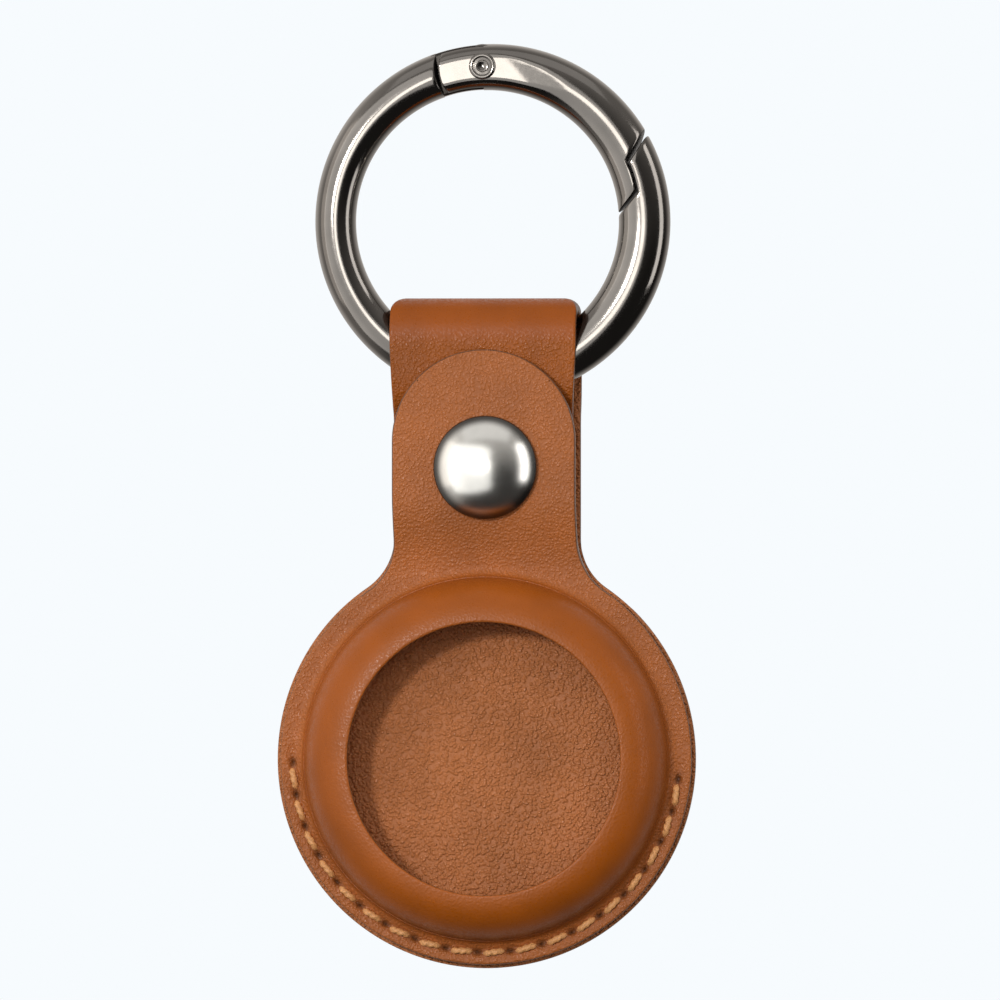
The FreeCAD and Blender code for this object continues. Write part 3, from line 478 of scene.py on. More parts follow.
def back_pattern():
    """Flat pattern of the back, the strap laid out straight above the disc."""
    end = 2 * FOLD_Z + FOLD_LENGTH - FLAP_END
    flange = steps(SEAM_RADIUS - 1, BACK_RADIUS - LAST_RING, BACK_RING_STEP)
    corner = arc((STRAP_HALF - LOOP_CORNER, end - LOOP_CORNER), LOOP_CORNER, 0, math.pi / 2, 8)
    top = corner + [(-x, z) for x, z in reversed(corner)]
    bm, neck = flat_pattern(flange + [BACK_RADIUS], flange[1], STRAP_HALF, top)
    inner = [edge for edge in bm.edges if edge.is_boundary
             and all(math.hypot(vert.co.x, vert.co.z - DISC_Z) < flange[0] + NEARLY for vert in edge.verts)]
    disc = bmesh.ops.edgeloop_fill(bm, edges=inner)["faces"]
    # One cut runs through the last ring's end, so that none crosses the margin at the neck's shoulder.
    shoulder = DISC_Z + (BACK_RADIUS - LAST_RING) * math.cos(NECK_SECTOR)
    cuts = steps(STRAP_BEND_TOP - STRAP_BEND_LENGTH, shoulder, STRAP_CUT_STEP)
    cuts += steps(shoulder, end - LOOP_CORNER, STRAP_CUT_STEP)[1:]
    slice_flat(bm, [neck] + disc, Vector((0, 0, 1)), cuts)
    bmesh.ops.remove_doubles(bm, verts=bm.verts[:], dist=SHORTEST_EDGE)
    return bm


def make_back(name, near, far, materials, slot, round_near, round_far):
    """One ply of the back, between two depths behind the pocket's floor."""
    bm = back_pattern()
    thicken(bm, back_place, near, far, round_near, round_far)
    return finish_piece(name, bm, materials, slot)


# Seam

def make_seam(name, level, side, material):
    """Row of stitches of twisted thread, their ends drawn into the needle holes."""
    bm = bmesh.new()
    for index in range(STITCH_COUNT):
        made = bmesh.ops.create_uvsphere(bm, u_segments=20, v_segments=26, radius=1)
        for vert in made["verts"]:
            along = vert.co.z
            full = (1 - abs(along) ** THREAD_BLUNTNESS) ** THREAD_TAPER if abs(along) < 1 else 0.0
            turn = math.atan2(vert.co.y, vert.co.x)
            ply = 1 + THREAD_PLY * math.cos(2 * (turn - THREAD_TWIST * along))
            radius = THREAD_RADIUS * full * ply
            rise = math.sin(turn) * radius * THREAD_FLATNESS - STITCH_SINK * abs(along) ** 4
            vert.co = Vector((math.cos(turn) * radius, side * rise, along * STITCH_HALF))
        angle = SEAM_START + STITCH_STEP * (index + 0.5)
        place = Vector((math.cos(angle) * SEAM_RADIUS, level, DISC_Z + math.sin(angle) * SEAM_RADIUS))
        lay = Matrix.Translation(place) @ Matrix.Rotation(STITCH_SLANT * side - angle, 4, "Y")
        bmesh.ops.transform(bm, matrix=lay, verts=made["verts"])
    bmesh.ops.recalc_face_normals(bm, faces=bm.faces[:])
    return finish_piece(name, bm, [material], "tan_thread", smooth_angle=60)


# Ring: a bar of oval section, wider on the nose's side, split at the hinge and at the stepped nose

def bar_point(turn, line, lap_radius=LAP_RADIUS):
    """Point on the bar; lines run along it, 0 outside, LAP_LINE each way on the lap, twice that inside."""
    outer = RING_SHIFT * math.cos(turn) + math.sqrt(RING_OUTER ** 2 - (RING_SHIFT * math.sin(turn)) ** 2)
    half = (outer - RING_INNER) / 2
    middle = RING_INNER + half
    lap = math.acos((lap_radius + math.copysign(LAP_SLANT, line) - middle) / half)
    share = abs(line) / LAP_LINE
    angle = share * lap if share < 1 else lap + (share - 1) * (math.pi - lap)
    reach = middle + half * math.cos(angle)
    y = math.copysign(RING_DEPTH * math.sin(angle), line)
    return Vector((reach * math.cos(turn), y, reach * math.sin(turn)))


def pin_reach(x, z):
    """Distance from the gate's pin."""
    return math.hypot(x - PIN.x, z - PIN.z)


NOSE_OUTER = pin_reach(LAP_RADIUS * math.cos(LIP_ANGLE), LAP_RADIUS * math.sin(LIP_ANGLE))
NOSE_INNER = pin_reach(RING_INNER * math.cos(TOE_ANGLE), RING_INNER * math.sin(TOE_ANGLE))


def turn_at(reach, line, far, near, slant=0.0):
    """Turn between a far and a near limit where a line of the bar passes at a distance from the pin."""
    for _ in range(HALVINGS):
        middle = (far + near) / 2
        point = bar_point(middle, line)
        if pin_reach(point.x, point.z) > reach + slant * point.y / RING_DEPTH:
            far = middle
        else:
            near = middle
    return far


def nose_turn(reach, line):
    """Turn where a line of the bar meets the nose's slanted face."""
    return turn_at(reach, line, *NOSE_SEARCH, NOSE_SLANT)


def heel_turn(reach, line):
    """Turn where a line of the bar meets the round heel."""
    return turn_at(reach, line, *HEEL_SEARCH)


def gate_turn(column, line):
    """Turn of a gate column: from the round heel to the outer step, then over the lap to the toe."""
    if column > GATE_COLUMNS:
        share = (column - GATE_COLUMNS) / NOSE_COLUMNS
        return nose_turn(NOSE_OUTER + (NOSE_INNER - NOSE_OUTER) * share, line)
    heel, lip = heel_turn(HEEL_RADIUS, line), nose_turn(NOSE_OUTER, line)
    return heel + (lip - heel) * column / GATE_COLUMNS


def body_turn(column, line):
    """Turn of a body column: over the lap from the flared lip, then round to the hinge's shoulder."""
    toe = NOSE_INNER + NOSE_GAP
    if column < NOSE_COLUMNS:
        lip = NOSE_OUTER + NOSE_GAP + LIP_FLARE * max(1 - abs(line) / LAP_LINE, 0.0)
        return nose_turn(lip + (toe - lip) * column / NOSE_COLUMNS, line)
    first, last = nose_turn(toe, line), heel_turn(HEEL_RADIUS + HEEL_GAP, line) - 2 * math.pi
    return first + (last - first) * (column - NOSE_COLUMNS) / BODY_COLUMNS


def make_bar(columns, turn_of, is_waste, lap_radius):
    """Closed length of the bar, its step at the nose cut away and its ends filled and rounded."""
    bm = bmesh.new()
    lines = 4 * LAP_LINE
    bmesh.ops.create_grid(bm, x_segments=columns, y_segments=lines, size=1)

    def place(point):
        return (point.x + 1) / 2 * columns, (point.y + 1) / 2 * lines - 2 * LAP_LINE

    waste = [face for face in bm.faces if is_waste(*place(face.calc_center_median()))]
    for vert in bm.verts:
        column, line = (round(value) for value in place(vert.co))
        vert.co = bar_point(turn_of(column, line), line, lap_radius)
    bmesh.ops.delete(bm, geom=waste, context="FACES")
    bmesh.ops.remove_doubles(bm, verts=bm.verts[:], dist=WELD)
    walls = set(bm.faces)

    def on_lap(vert):
        return abs(abs(math.hypot(vert.co.x, vert.co.z) - lap_radius) - LAP_SLANT) < NEARLY

    lap = [edge for edge in bm.edges if edge.is_boundary and all(on_lap(vert) for vert in edge.verts)]
    bmesh.ops.bridge_loops(bm, edges=lap)
    bmesh.ops.holes_fill(bm, edges=[edge for edge in bm.edges if edge.is_boundary], sides=0)
    bmesh.ops.recalc_face_normals(bm, faces=bm.faces[:])
    ends = set(bm.faces) - walls
    corners = {edge for face in ends for edge in face.edges if edge.calc_face_angle() > CORNER_ANGLE}
    # The filled ends take the near-black second material: painted shade in the gaps at the hinge and the
    # nose.
    for face in ends:
        face.material_index = 1
    bmesh.ops.bevel(bm, geom=list(corners), offset=BAR_ROUND, segments=3, profile=0.5, affect="EDGES",
                    material=-1, clamp_overlap=True)
    return bm


def make_gate():
    """Gate with flats at the rivet and a slot for the ring's tenon."""
    def above_lap(column, line):
        return column > GATE_COLUMNS and abs(line) < LAP_LINE

    bm = make_bar(GATE_COLUMNS + NOSE_COLUMNS, gate_turn, above_lap, LAP_RADIUS - LAP_GAP / 2)
    for vert in bm.verts:
        lean = FACET_LEAN * (math.hypot(vert.co.x, vert.co.z) - LAP_RADIUS)
        ramp = max((vert.co.x + lean - FACET_END) / FACET_RAMP, 0.0)
        limit = FACET_DEPTH + (RING_DEPTH - FACET_DEPTH) * ramp
        vert.co.y = min(max(vert.co.y, -limit), limit)
    slot_end = PIN.x + SLOT_REACH
    near_heel = [face for face in bm.faces if face.calc_center_median().x < slot_end + SLOT_MARGIN]
    near_heel = slice_flat(bm, near_heel, Vector((0, 1, 0)), [SLOT_HALF, -SLOT_HALF])
    slice_flat(bm, near_heel, Vector((1, 0, 0)), [slot_end])
    waste = [face for face in bm.faces
             if abs(face.calc_center_median().y) < SLOT_HALF and face.calc_center_median().x < slot_end]
    bmesh.ops.delete(bm, geom=waste, context="FACES")
    edges = [edge for edge in bm.edges if edge.is_boundary]
    ends = {vert for edge in edges for vert in edge.verts if abs(vert.co.x - slot_end) < WELD}
    for side in (-SLOT_HALF, SLOT_HALF):
        corners = [vert for vert in ends if abs(vert.co.y - side) < WELD]
        edges.append(bm.edges.new(corners))
    bmesh.ops.edgenet_fill(bm, edges=edges)
    bmesh.ops.recalc_face_normals(bm, faces=bm.faces[:])
    return finish_piece("ring_gate_finish", bm, [gunmetal, painted_gap_shade], "gunmetal", smooth_angle=32)


def make_body():
    """Fixed part of the ring, with the tenon that the gate's fork straddles."""
    def below_lap(column, line):
        return column < NOSE_COLUMNS and abs(line) > LAP_LINE

    bm = make_bar(NOSE_COLUMNS + BODY_COLUMNS, body_turn, below_lap, LAP_RADIUS + LAP_GAP / 2)
    ring_faces = set(bm.faces)
    about_pin = Matrix.Translation(PIN) @ Matrix.Rotation(math.pi / 2, 4, "X")
    bmesh.ops.create_cone(bm, cap_ends=True, segments=48, radius1=EYE_RADIUS, radius2=EYE_RADIUS,
                          depth=TENON_THICKNESS, matrix=about_pin)
    first = math.atan2(PIN.z, PIN.x + TENON_ROUND)
    last = heel_turn(TENON_ROOT, 0)
    arm = bmesh.ops.create_grid(bm, x_segments=12, y_segments=1, size=1)["verts"]
    for vert in arm:
        turn = first + (last - first) * (vert.co.x + 1) / 2
        edge = bar_point(turn, 0 if vert.co.y > 0 else 2 * LAP_LINE)
        vert.co = edge - edge.normalized() * math.copysign(TENON_INSET, vert.co.y)
    sheet = list({face for vert in arm for face in vert.link_faces})
    made = bmesh.ops.extrude_face_region(bm, geom=sheet, use_keep_orig=True)["geom"]
    other = [item for item in made if isinstance(item, bmesh.types.BMVert)]
    bmesh.ops.translate(bm, vec=Vector((0, TENON_THICKNESS / 2, 0)), verts=other)
    bmesh.ops.translate(bm, vec=Vector((0, -TENON_THICKNESS / 2, 0)), verts=arm)
    tenon_faces = [face for face in bm.faces if face not in ring_faces]
    bmesh.ops.recalc_face_normals(bm, faces=tenon_faces)
    # The tenon's broad sides take the near-black second material: painted shade in the hinge gap.
    for face in tenon_faces:
        face.material_index = 1 if abs(face.normal.y) > 0.5 else 0
    corners = {edge for face in tenon_faces for edge in face.edges if edge.calc_face_angle() > CORNER_ANGLE}
    bmesh.ops.bevel(bm, geom=list(corners), offset=TENON_ROUND, segments=3, profile=0.5, affect="EDGES",
                    material=-1, clamp_overlap=True)
    return finish_piece("ring_body_finish", bm, [gunmetal, painted_gap_shade], "gunmetal", smooth_angle=32)


def make_pin():
    """Rivet with a turned head at each end."""
    bm = bmesh.new()
    points = [(0, PIN_FACE - DIMPLE_DEPTH), (DIMPLE_RADIUS, PIN_FACE - DIMPLE_DEPTH + DIMPLE_CROWN),
              (BOSS_INNER, PIN_FACE - EDGE_FALL / 2), (BOSS_OUTER, PIN_FACE),
              (GROOVE_INNER, PIN_FACE - PIN_GROOVE_DEPTH + EDGE_FALL),
              (GROOVE_OUTER, PIN_FACE - PIN_GROOVE_DEPTH),
              (LAND_INNER, PIN_FACE - EDGE_FALL), (LAND_OUTER, PIN_FACE),
              (PIN_HEAD - LAND_ROUND, PIN_FACE - LAND_FALL), (PIN_HEAD, FACET_DEPTH),
              (PIN_HEAD, FACET_DEPTH - PIN_SINK), (PIN_SHANK, FACET_DEPTH - PIN_SINK), (PIN_SHANK, 0)]
    verts = [bm.verts.new((PIN.x + radius, y, PIN.z)) for radius, y in points]
    edges = [bm.edges.new(pair) for pair in zip(verts, verts[1:])]
    bmesh.ops.spin(bm, geom=verts + edges, cent=PIN, axis=Vector((0, 1, 0)), angle=2 * math.pi, steps=64,
                   use_merge=True)
    bmesh.ops.remove_doubles(bm, verts=bm.verts[:], dist=WELD)
    bmesh.ops.mirror(bm, geom=bm.verts[:] + bm.edges[:] + bm.faces[:], axis="Y", merge_dist=WELD)
    bmesh.ops.recalc_face_normals(bm, faces=bm.faces[:])
    return finish_piece("gate_pin_finish", bm, [gunmetal], "gunmetal", smooth_angle=50)


# Snap and hinge hardware

def smooth_twin(node_name, material, slot):
    """Smooth-shaded copy of a CAD node's mesh."""
    bm = bmesh.new()
    bm.from_mesh(frame["nodes"][node_name].data)
    bmesh.ops.scale(bm, vec=Vector((1 / MM, 1 / MM, 1 / MM)), verts=bm.verts)
    bmesh.ops.remove_doubles(bm, verts=bm.verts[:], dist=NEARLY)
    piece = finish_piece(node_name + "_finish", bm, [material], slot, smooth_angle=20)
    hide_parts(node_name)
    return piece


def make_cap():
    """Domed cap of the snap, with a rolled rim."""
    bm = bmesh.new()
    seat = cap_high.y
    rise = seat - CAP_TOP - CAP_RIM
    crown = (CAP_RADIUS * CAP_RADIUS + rise * rise) / (2 * rise)
    angles = steps(0, math.asin(CAP_RADIUS / crown), CAP_TURN_STEP)
    points = [(crown * math.sin(angle), CAP_TOP + crown * (1 - math.cos(angle))) for angle in angles]
    points = [point for point in points if point[0] < CAP_RADIUS - CAP_ROLL_START]
    points += arc((CAP_RADIUS - CAP_ROLL, seat - CAP_ROLL_LIFT), CAP_ROLL, -CAP_ROLL_TURN, CAP_ROLL_TURN, 8)
    points += [(CAP_RADIUS - CAP_SEAT_OUTER, seat), (CAP_RADIUS - CAP_SEAT_INNER, seat)]
    verts = [bm.verts.new((radius, y, SNAP_Z)) for radius, y in points]
    edges = [bm.edges.new(pair) for pair in zip(verts, verts[1:])]
    bmesh.ops.spin(bm, geom=verts + edges, cent=Vector((0, 0, SNAP_Z)), axis=Vector((0, 1, 0)),
                   angle=2 * math.pi, steps=128, use_merge=True)
    bmesh.ops.remove_doubles(bm, verts=bm.verts[:], dist=WELD)
    bmesh.ops.recalc_face_normals(bm, faces=bm.faces[:])
    return finish_piece("snap_cap_finish", bm, [cap_nickel], "satin_nickel")


# Materials

def add(tree, kind, inputs=None, **settings):
    """Shader node with its settings, and its inputs linked or set."""
    made = tree.nodes.new("ShaderNode" + kind)
    for name, value in settings.items():
        setattr(made, name, value)
    for key, value in (inputs or {}).items():
        if isinstance(value, bpy.types.NodeSocket):
            tree.links.new(value, made.inputs[key])
        else:
            made.inputs[key].default_value = value
    return made


def spread(tree, noise, least, most):
    """Noise from its usual range, spread from least to most."""
    return add(tree, "MapRange", {"Value": noise, "From Min": 0.3, "From Max": 0.7, "To Min": least,
                                  "To Max": most}).outputs[0]


def fade(tree, value, first, last, least=0.0, most=1.0):
    """Smooth change from least to most as a value goes from first to last."""
    return add(tree, "MapRange", {"Value": value, "From Min": first, "From Max": last, "To Min": least,
                                  "To Max": most}, interpolation_type="SMOOTHSTEP").outputs[0]


def new_group(name, inputs, outputs):
    """Node group with the given sockets, and its two inner ends."""
    tree = bpy.data.node_groups.new(name, "ShaderNodeTree")
    for direction, sockets in (("INPUT", inputs), ("OUTPUT", outputs)):
        for label, kind in sockets:
            tree.interface.new_socket(label, in_out=direction, socket_type="NodeSocket" + kind)
    return tree, tree.nodes.new("NodeGroupInput").outputs, tree.nodes.new("NodeGroupOutput").inputs


def grain_group():
    """Pebble grain: the height of rounded pebbles, and a mask of the hollows between them."""
    tree, given, made = new_group("pebble grain", [("Vector", "Vector"), ("Cells", "Float")],
                                  [("Height", "Float"), ("Hollow", "Float")])
    wander = add(tree, "TexNoise", {"Vector": given["Vector"], "Scale": 1300.0, "Detail": 2.0})
    drift = add(tree, "VectorMath", {0: wander.outputs["Color"], 3: 0.00038}, operation="SCALE")
    bent = add(tree, "VectorMath", {0: given["Vector"], 1: drift.outputs[0]}, operation="ADD")
    cells = add(tree, "TexVoronoi", {"Vector": bent.outputs[0], "Scale": given["Cells"], "Smoothness": 0.5},
                feature="SMOOTH_F1")
    hollow = fade(tree, cells.outputs["Distance"], 0.15, 0.75)
    broad = add(tree, "TexNoise", {"Vector": given["Vector"], "Scale": 1700.0, "Detail": 2.0})
    fine = add(tree, "TexNoise", {"Vector": given["Vector"], "Scale": 4800.0, "Detail": 3.0})
    height = add(tree, "Math", {0: hollow, 1: -1.2, 2: 1.2}, operation="MULTIPLY_ADD")
    height = add(tree, "Math", {0: broad.outputs[0], 1: 0.6, 2: height.outputs[0]}, operation="MULTIPLY_ADD")
    height = add(tree, "Math", {0: fine.outputs[0], 1: 0.5, 2: height.outputs[0]}, operation="MULTIPLY_ADD")
    tree.links.new(height.outputs[0], made["Height"])
    tree.links.new(hollow, made["Hollow"])
    return tree


def new_material(name):
    """Node material, its tree and shader, and the piece's own coordinates."""
    material = bpy.data.materials.new(name)
    material.use_nodes = True
    tree = material.node_tree
    shader = tree.nodes["Principled BSDF"]
    place = add(tree, "TexCoord").outputs["Object"]
    return material, tree, shader, place


def leather(name, colour, cells, depth, smooth_colour=None, smooth_mask=None):
    """Grained leather; where a mask is given and is one, it is pressed smooth and has a richer colour."""
    material, tree, shader, place = new_material(name)
    grain = add(tree, "Group", node_tree=grain_tree)
    tree.links.new(place, grain.inputs["Vector"])
    grain.inputs["Cells"].default_value = cells
    tone, crease, height = colour, grain.outputs["Hollow"], grain.outputs["Height"]
    if smooth_mask:
        mask = smooth_mask(tree, place)
        mixed = add(tree, "Mix", {0: mask, 6: (*colour, 1), 7: (*smooth_colour, 1)}, data_type="RGBA")
        tone = mixed.outputs[2]
        left = add(tree, "Math", {0: 1.0, 1: mask}, operation="SUBTRACT")
        left = add(tree, "Math", {0: left.outputs[0], 1: 0.88, 2: 0.12}, operation="MULTIPLY_ADD").outputs[0]
        crease = add(tree, "Math", {0: crease, 1: left}, operation="MULTIPLY").outputs[0]
        height = add(tree, "Math", {0: height, 1: left}, operation="MULTIPLY").outputs[0]
    blotch = add(tree, "TexNoise", {"Vector": place, "Scale": 160.0, "Detail": 4.0})
    shade = spread(tree, blotch.outputs[0], 0.86, 1.1)
    shaded = add(tree, "VectorMath", {0: tone, 3: shade}, operation="SCALE")
    dark = add(tree, "Math", {0: crease, 1: -0.13, 2: 1.0}, operation="MULTIPLY_ADD").outputs[0]
    # Needle holes darken as painted shade inside the holes, on top of their shallow dents.
    hole = add(tree, "Attribute", attribute_name="needle_hole").outputs["Fac"]
    dark = add(tree, "Math", {0: hole, 1: -0.76, 2: dark}, operation="MULTIPLY_ADD")
    dark = add(tree, "Math", {0: dark.outputs[0], 1: 0.1}, operation="MAXIMUM")
    final = add(tree, "VectorMath", {0: shaded.outputs[0], 3: dark.outputs[0]}, operation="SCALE")
    tree.links.new(final.outputs[0], shader.inputs["Base Color"])
    gloss = add(tree, "Math", {0: grain.outputs["Hollow"], 1: 0.3, 2: 0.27}, operation="MULTIPLY_ADD")
    tree.links.new(gloss.outputs[0], shader.inputs["Roughness"])
    shader.inputs["Specular IOR Level"].default_value = 0.28
    bump = add(tree, "Bump", {"Height": height, "Strength": 1.0, "Distance": depth * MM})
    tree.links.new(bump.outputs[0], shader.inputs["Normal"])
    return material


def rim_mask(tree, place):
    """One on the moulded rim, fading out at its foot and a little at the window's edge."""
    flat = add(tree, "VectorMath", {0: place, 1: (1, 0, 1)}, operation="MULTIPLY")
    reach = add(tree, "VectorMath", {0: flat.outputs[0], 1: (0, 0, DISC_Z * MM)}, operation="DISTANCE")
    reach = reach.outputs["Value"]
    foot = fade(tree, reach, (RIM_FOOT + RIM_FADE_OUT) * MM, (RIM_FOOT - RIM_FADE_IN) * MM)
    edge = fade(tree, reach, WINDOW_RADIUS * MM, (WINDOW_RADIUS + WINDOW_FADE) * MM, least=0.65)
    both = add(tree, "Math", {0: foot, 1: edge}, operation="MULTIPLY")
    return both.outputs[0]


def fold_mask(tree, place):
    """One over the strap's fold, where the leather is stretched."""
    parts = add(tree, "SeparateXYZ", {0: place})
    return fade(tree, parts.outputs["Z"], (FOLD_Z - FOLD_FADE_OUT) * MM, (FOLD_Z + FOLD_FADE_IN) * MM)


def edge_paint(name, colour):
    """Burnished and painted cut edge."""
    material, tree, shader, place = new_material(name)
    streak = add(tree, "TexNoise", {"Vector": place, "Scale": 900.0, "Detail": 3.0})
    shade = spread(tree, streak.outputs[0], 0.75, 1.15)
    tone = add(tree, "VectorMath", {0: colour, 3: shade}, operation="SCALE")
    tree.links.new(tone.outputs[0], shader.inputs["Base Color"])
    gloss = add(tree, "MapRange", {"Value": streak.outputs[0], "To Min": 0.35, "To Max": 0.5})
    tree.links.new(gloss.outputs[0], shader.inputs["Roughness"])
    return material


def thread(name, colour):
    """Waxed thread with a fine fibrous surface."""
    material, tree, shader, place = new_material(name)
    fibre = add(tree, "TexNoise", {"Vector": place, "Scale": 7000.0, "Detail": 3.0})
    shade = spread(tree, fibre.outputs[0], 0.7, 1.2)
    tone = add(tree, "VectorMath", {0: colour, 3: shade}, operation="SCALE")
    tree.links.new(tone.outputs[0], shader.inputs["Base Color"])
    gloss = add(tree, "MapRange", {"Value": fibre.outputs[0], "To Min": 0.45, "To Max": 0.65})
    tree.links.new(gloss.outputs[0], shader.inputs["Roughness"])
    bump = add(tree, "Bump", {"Height": fibre.outputs[0], "Strength": 0.6, "Distance": 0.03 * MM})
    tree.links.new(bump.outputs[0], shader.inputs["Normal"])
    return material


def cap_rim_shade(tree, place):
    """One on the snap cap's crown, falling off at its rim into painted shade."""
    off = add(tree, "VectorMath", {0: place, 1: (1, 0, 1)}, operation="MULTIPLY")
    reach = add(tree, "VectorMath", {0: off.outputs[0], 1: (0, 0, SNAP_Z * MM)}, operation="DISTANCE")
    rim, crown = (CAP_RADIUS - CAP_FADE_OUT) * MM, (CAP_RADIUS - CAP_FADE_IN) * MM
    return fade(tree, reach.outputs["Value"], rim, crown, least=0.16)


def metal(name, colour, rough, scratch, rim=None):
    """Plated metal with a slight change of tone and fine wear, and painted shade at the rim where a rim mask
    is given.
    """
    material, tree, shader, place = new_material(name)
    cloud = add(tree, "TexNoise", {"Vector": place, "Scale": 260.0, "Detail": 3.0})
    shade = spread(tree, cloud.outputs[0], 0.9, 1.06)
    tone = add(tree, "VectorMath", {0: colour, 3: shade}, operation="SCALE")
    # A rim mask darkens the colour towards the rim: painted shade.
    if rim:
        tone = add(tree, "VectorMath", {0: tone.outputs[0], 3: rim(tree, place)}, operation="SCALE")
    tree.links.new(tone.outputs[0], shader.inputs["Base Color"])
    wear = add(tree, "TexNoise", {"Vector": place, "Scale": 2600.0, "Detail": 4.0})
    gloss = spread(tree, wear.outputs[0], rough - scratch, rough + scratch)
    tree.links.new(gloss, shader.inputs["Roughness"])
    shader.inputs["Metallic"].default_value = 1.0
    return material


grain_tree = grain_group()
front_tan = leather("tan_leather_front", (0.395, 0.118, 0.027), 3900.0, 0.045,
                    smooth_colour=(0.335, 0.079, 0.004), smooth_mask=rim_mask)
strap_tan = leather("tan_leather_strap", (0.328, 0.083, 0.006), 3900.0, 0.05,
                    smooth_colour=(0.302, 0.067, 0.001), smooth_mask=fold_mask)
lining_tan = leather("tan_leather_lining", (0.49, 0.17, 0.056), 3200.0, 0.125)
edge_brown = edge_paint("leather_edge_paint", (0.15, 0.055, 0.02))
seam_tan = thread("tan_seam_thread", (0.66, 0.31, 0.11))
gunmetal = metal("gunmetal_plating", (0.215, 0.201, 0.187), 0.13, 0.015)
# Near-black metal for the ring's gap faces: painted shade in the gaps.
painted_gap_shade = metal("gap_shade_plating", (0.05, 0.046, 0.042), 0.42, 0.05)
# The cap's colour darkens towards its rolled rim: painted shade.
cap_nickel = metal("satin_nickel_cap", (0.86, 0.85, 0.81), 0.24, 0.012, cap_rim_shade)
satin_nickel = metal("satin_nickel_plating", (0.86, 0.84, 0.80), 0.24, 0.012)
spring_steel = metal("drawn_spring_wire", (0.55, 0.55, 0.54), 0.3, 0.05)

# Pieces
front = make_front("front_leather", 0.0, OUTER_PLY, [front_tan, edge_brown], "tan_leather", EDGE_ROUND, 0.0)
front_lining = make_front("front_lining_leather", OUTER_PLY, LEATHER, [lining_tan, edge_brown],
                          "lining_leather", 0.0, LINING_ROUND)
for piece, replaced in ((front, ("front_panel", "front_tongue")),
                        (front_lining, ("front_lining", "tongue_lining"))):
    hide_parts(*replaced)
    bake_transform(piece)

back = make_back("back_leather", LINING_PLY, LEATHER, [strap_tan, edge_brown], "tan_leather", 0.0, EDGE_ROUND)
back_lining = make_back("back_lining_leather", 0.0, LINING_PLY, [lining_tan, edge_brown], "lining_leather",
                        LINING_ROUND, 0.0)
for piece, replaced in ((back, "back_panel"), (back_lining, "back_lining")):
    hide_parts(replaced)
    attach(piece, "holder")

for name, level, side, replaced in (
        ("seam_top_thread", FLANGE_FRONT - STITCH_LIFT, -1, "seam_top_stitches"),
        ("seam_bobbin_thread", FLOOR_Y + LEATHER + STITCH_LIFT, 1, "seam_bobbin_stitches")):
    row = make_seam(name, level, side, seam_tan)
    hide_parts(replaced)
    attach(row, "holder")

cap = make_cap()
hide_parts("snap_cap")
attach(cap, "tongue")
for piece, replaced, body in ((make_body(), "ring_body", "ring"), (make_gate(), "ring_gate", "gate"),
                              (make_pin(), "gate_pin", "gate")):
    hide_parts(replaced)
    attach(piece, body)
for node_name, material, slot, body in (
        ("gate_plunger", spring_steel, "spring_steel", "plunger"),
        ("snap_cap_rivet", satin_nickel, "satin_nickel", "tongue"),
        ("snap_socket", satin_nickel, "satin_nickel", "tongue"),
        ("snap_socket_spring", spring_steel, "spring_steel", "tongue"),
        ("snap_stud", satin_nickel, "satin_nickel", "holder"),
        ("snap_post", satin_nickel, "satin_nickel", "holder")):
    piece = smooth_twin(node_name, material, slot)
    even = piece.modifiers.new("even_normals", "WEIGHTED_NORMAL")
    even.keep_sharp = True
    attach(piece, body)

# The coil is pressed between the plunger and the end of its bore.
spring = smooth_twin("gate_spring", spring_steel, "spring_steel")
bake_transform(spring)

# Floor, light and camera
FLOOR_DROP = -0.16
FLOOR_RADIUS = 1.02
bm = bmesh.new()
bmesh.ops.create_circle(bm, cap_ends=True, segments=96, radius=FLOOR_RADIUS)
bmesh.ops.translate(bm, vec=Vector((0, 0, FLOOR_DROP)), verts=bm.verts)
floor_mesh = bpy.data.meshes.new("pale_floor")
bm.to_mesh(floor_mesh)
bm.free()
floor = bpy.data.objects.new("pale_floor", floor_mesh)
bpy.context.scene.collection.objects.link(floor)
floor_material, _, floor_shader, _ = new_material("pale_floor")
floor_shader.inputs["Base Color"].default_value = (0.03, 0.031, 0.032, 1)
floor_shader.inputs["Roughness"].default_value = 0.9
floor_shader.inputs["Emission Color"].default_value = (0.93, 0.965, 0.99, 1)
floor_shader.inputs["Emission Strength"].default_value = 0.82
floor_mesh.materials.append(floor_material)
floor.visible_glossy = False
floor.visible_diffuse = False

TARGET = Vector((1.21, 0, -26.89)) * MM
VIEW_TURN = math.radians(2.5)
VIEW_RISE = math.radians(-0.5)
FRAME_WIDTH = 96.6 * MM
LENS = 1000.0
SENSOR = 36.0
LAMP_DISTANCE = 0.6


def light(name, turn, rise, size, power, colour, on_matt=True, on_gloss=True):
    """Soft rectangular lamp that faces the object, placed by its angles from the front."""
    turn, rise = math.radians(turn), math.radians(rise)
    side = Vector((math.sin(turn) * math.cos(rise), -math.cos(turn) * math.cos(rise), math.sin(rise)))
    data = bpy.data.lights.new(name, "AREA")
    data.shape = "RECTANGLE"
    data.size, data.size_y = size
    data.energy = power
    data.color = colour
    lamp = bpy.data.objects.new(name, data)
    lamp.location = TARGET + side * LAMP_DISTANCE
    lamp.rotation_euler = (-side).to_track_quat("-Z", "Y").to_euler()
    lamp.visible_camera = False
    lamp.visible_diffuse = on_matt
    lamp.visible_glossy = on_gloss
    bpy.context.scene.collection.objects.link(lamp)


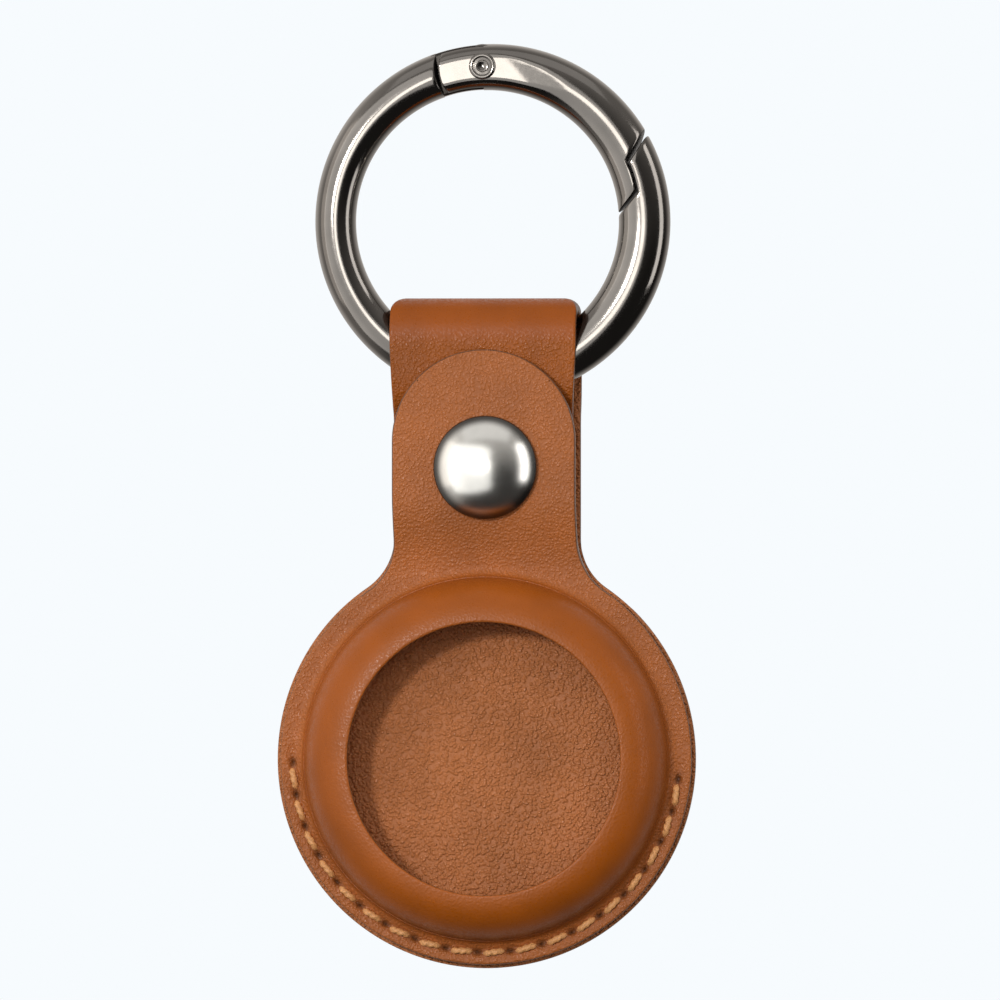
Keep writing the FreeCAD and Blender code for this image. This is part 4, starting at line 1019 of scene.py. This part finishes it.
light("key_left", -19, 9, (0.06, 0.06), 1.46, (1, 0.98, 0.95))
light("softbox_front", -5, 9, (0.7, 0.7), 1.45, (1, 0.985, 0.96), on_gloss=False)
light("card_front", -28, -2, (0.9, 1.0), 3.0, (1, 0.99, 0.97), on_matt=False)
light("card_left", -74, 6, (0.3, 0.7), 0.4, (1, 0.93, 0.86), on_matt=False)
light("panel_right", 70, 8, (0.2, 0.6), 0.9, (1, 0.98, 0.96))
light("glow_front", -3, 3, (0.12, 0.12), 0.2, (1, 0.97, 0.92))
light("top_soft", 0, 68, (0.8, 0.4), 0.35, (1, 1, 1))

# The camera sees a plain pale backdrop; the pieces are lit by a dimmer room.
world = bpy.data.worlds.new("studio")
bpy.context.scene.world = world
world.use_nodes = True
tree = world.node_tree
tree.nodes.clear()
seen = add(tree, "Background", {"Color": (0.930, 0.965, 0.991, 1), "Strength": 1.0})
ray = add(tree, "SeparateXYZ", {0: add(tree, "TexCoord").outputs["Generated"]})
overhead = fade(tree, ray.outputs["Z"], -0.2, 0.9, least=0.03, most=0.42)
left_wall = fade(tree, ray.outputs["X"], -0.4, -0.9, most=0.42)
far_wall = fade(tree, ray.outputs["Y"], 0.05, 0.8, most=0.75)
sides = add(tree, "Math", {0: overhead, 1: left_wall}, operation="ADD")
sides = add(tree, "Math", {0: sides.outputs[0], 1: far_wall}, operation="ADD")
around = add(tree, "Background", {"Color": (1, 0.955, 0.91, 1), "Strength": sides.outputs[0]})
straight = add(tree, "LightPath").outputs["Is Camera Ray"]
mixed = add(tree, "MixShader", {0: straight, 1: around.outputs[0], 2: seen.outputs[0]})
add(tree, "OutputWorld", {"Surface": mixed.outputs[0]})

camera_data = bpy.data.cameras.new("camera")
camera_data.lens = LENS
camera_data.sensor_width = SENSOR
camera = bpy.data.objects.new("camera", camera_data)
toward = Vector((math.sin(VIEW_TURN) * math.cos(VIEW_RISE), -math.cos(VIEW_TURN) * math.cos(VIEW_RISE),
                 math.sin(VIEW_RISE)))
camera.location = TARGET + toward * (FRAME_WIDTH / SENSOR * LENS)
camera.rotation_euler = (-toward).to_track_quat("-Z", "Y").to_euler()
bpy.context.scene.collection.objects.link(camera)
bpy.context.scene.camera = camera
bpy.context.scene.view_settings.view_transform = "Standard"

bpy.context.view_layer.update()
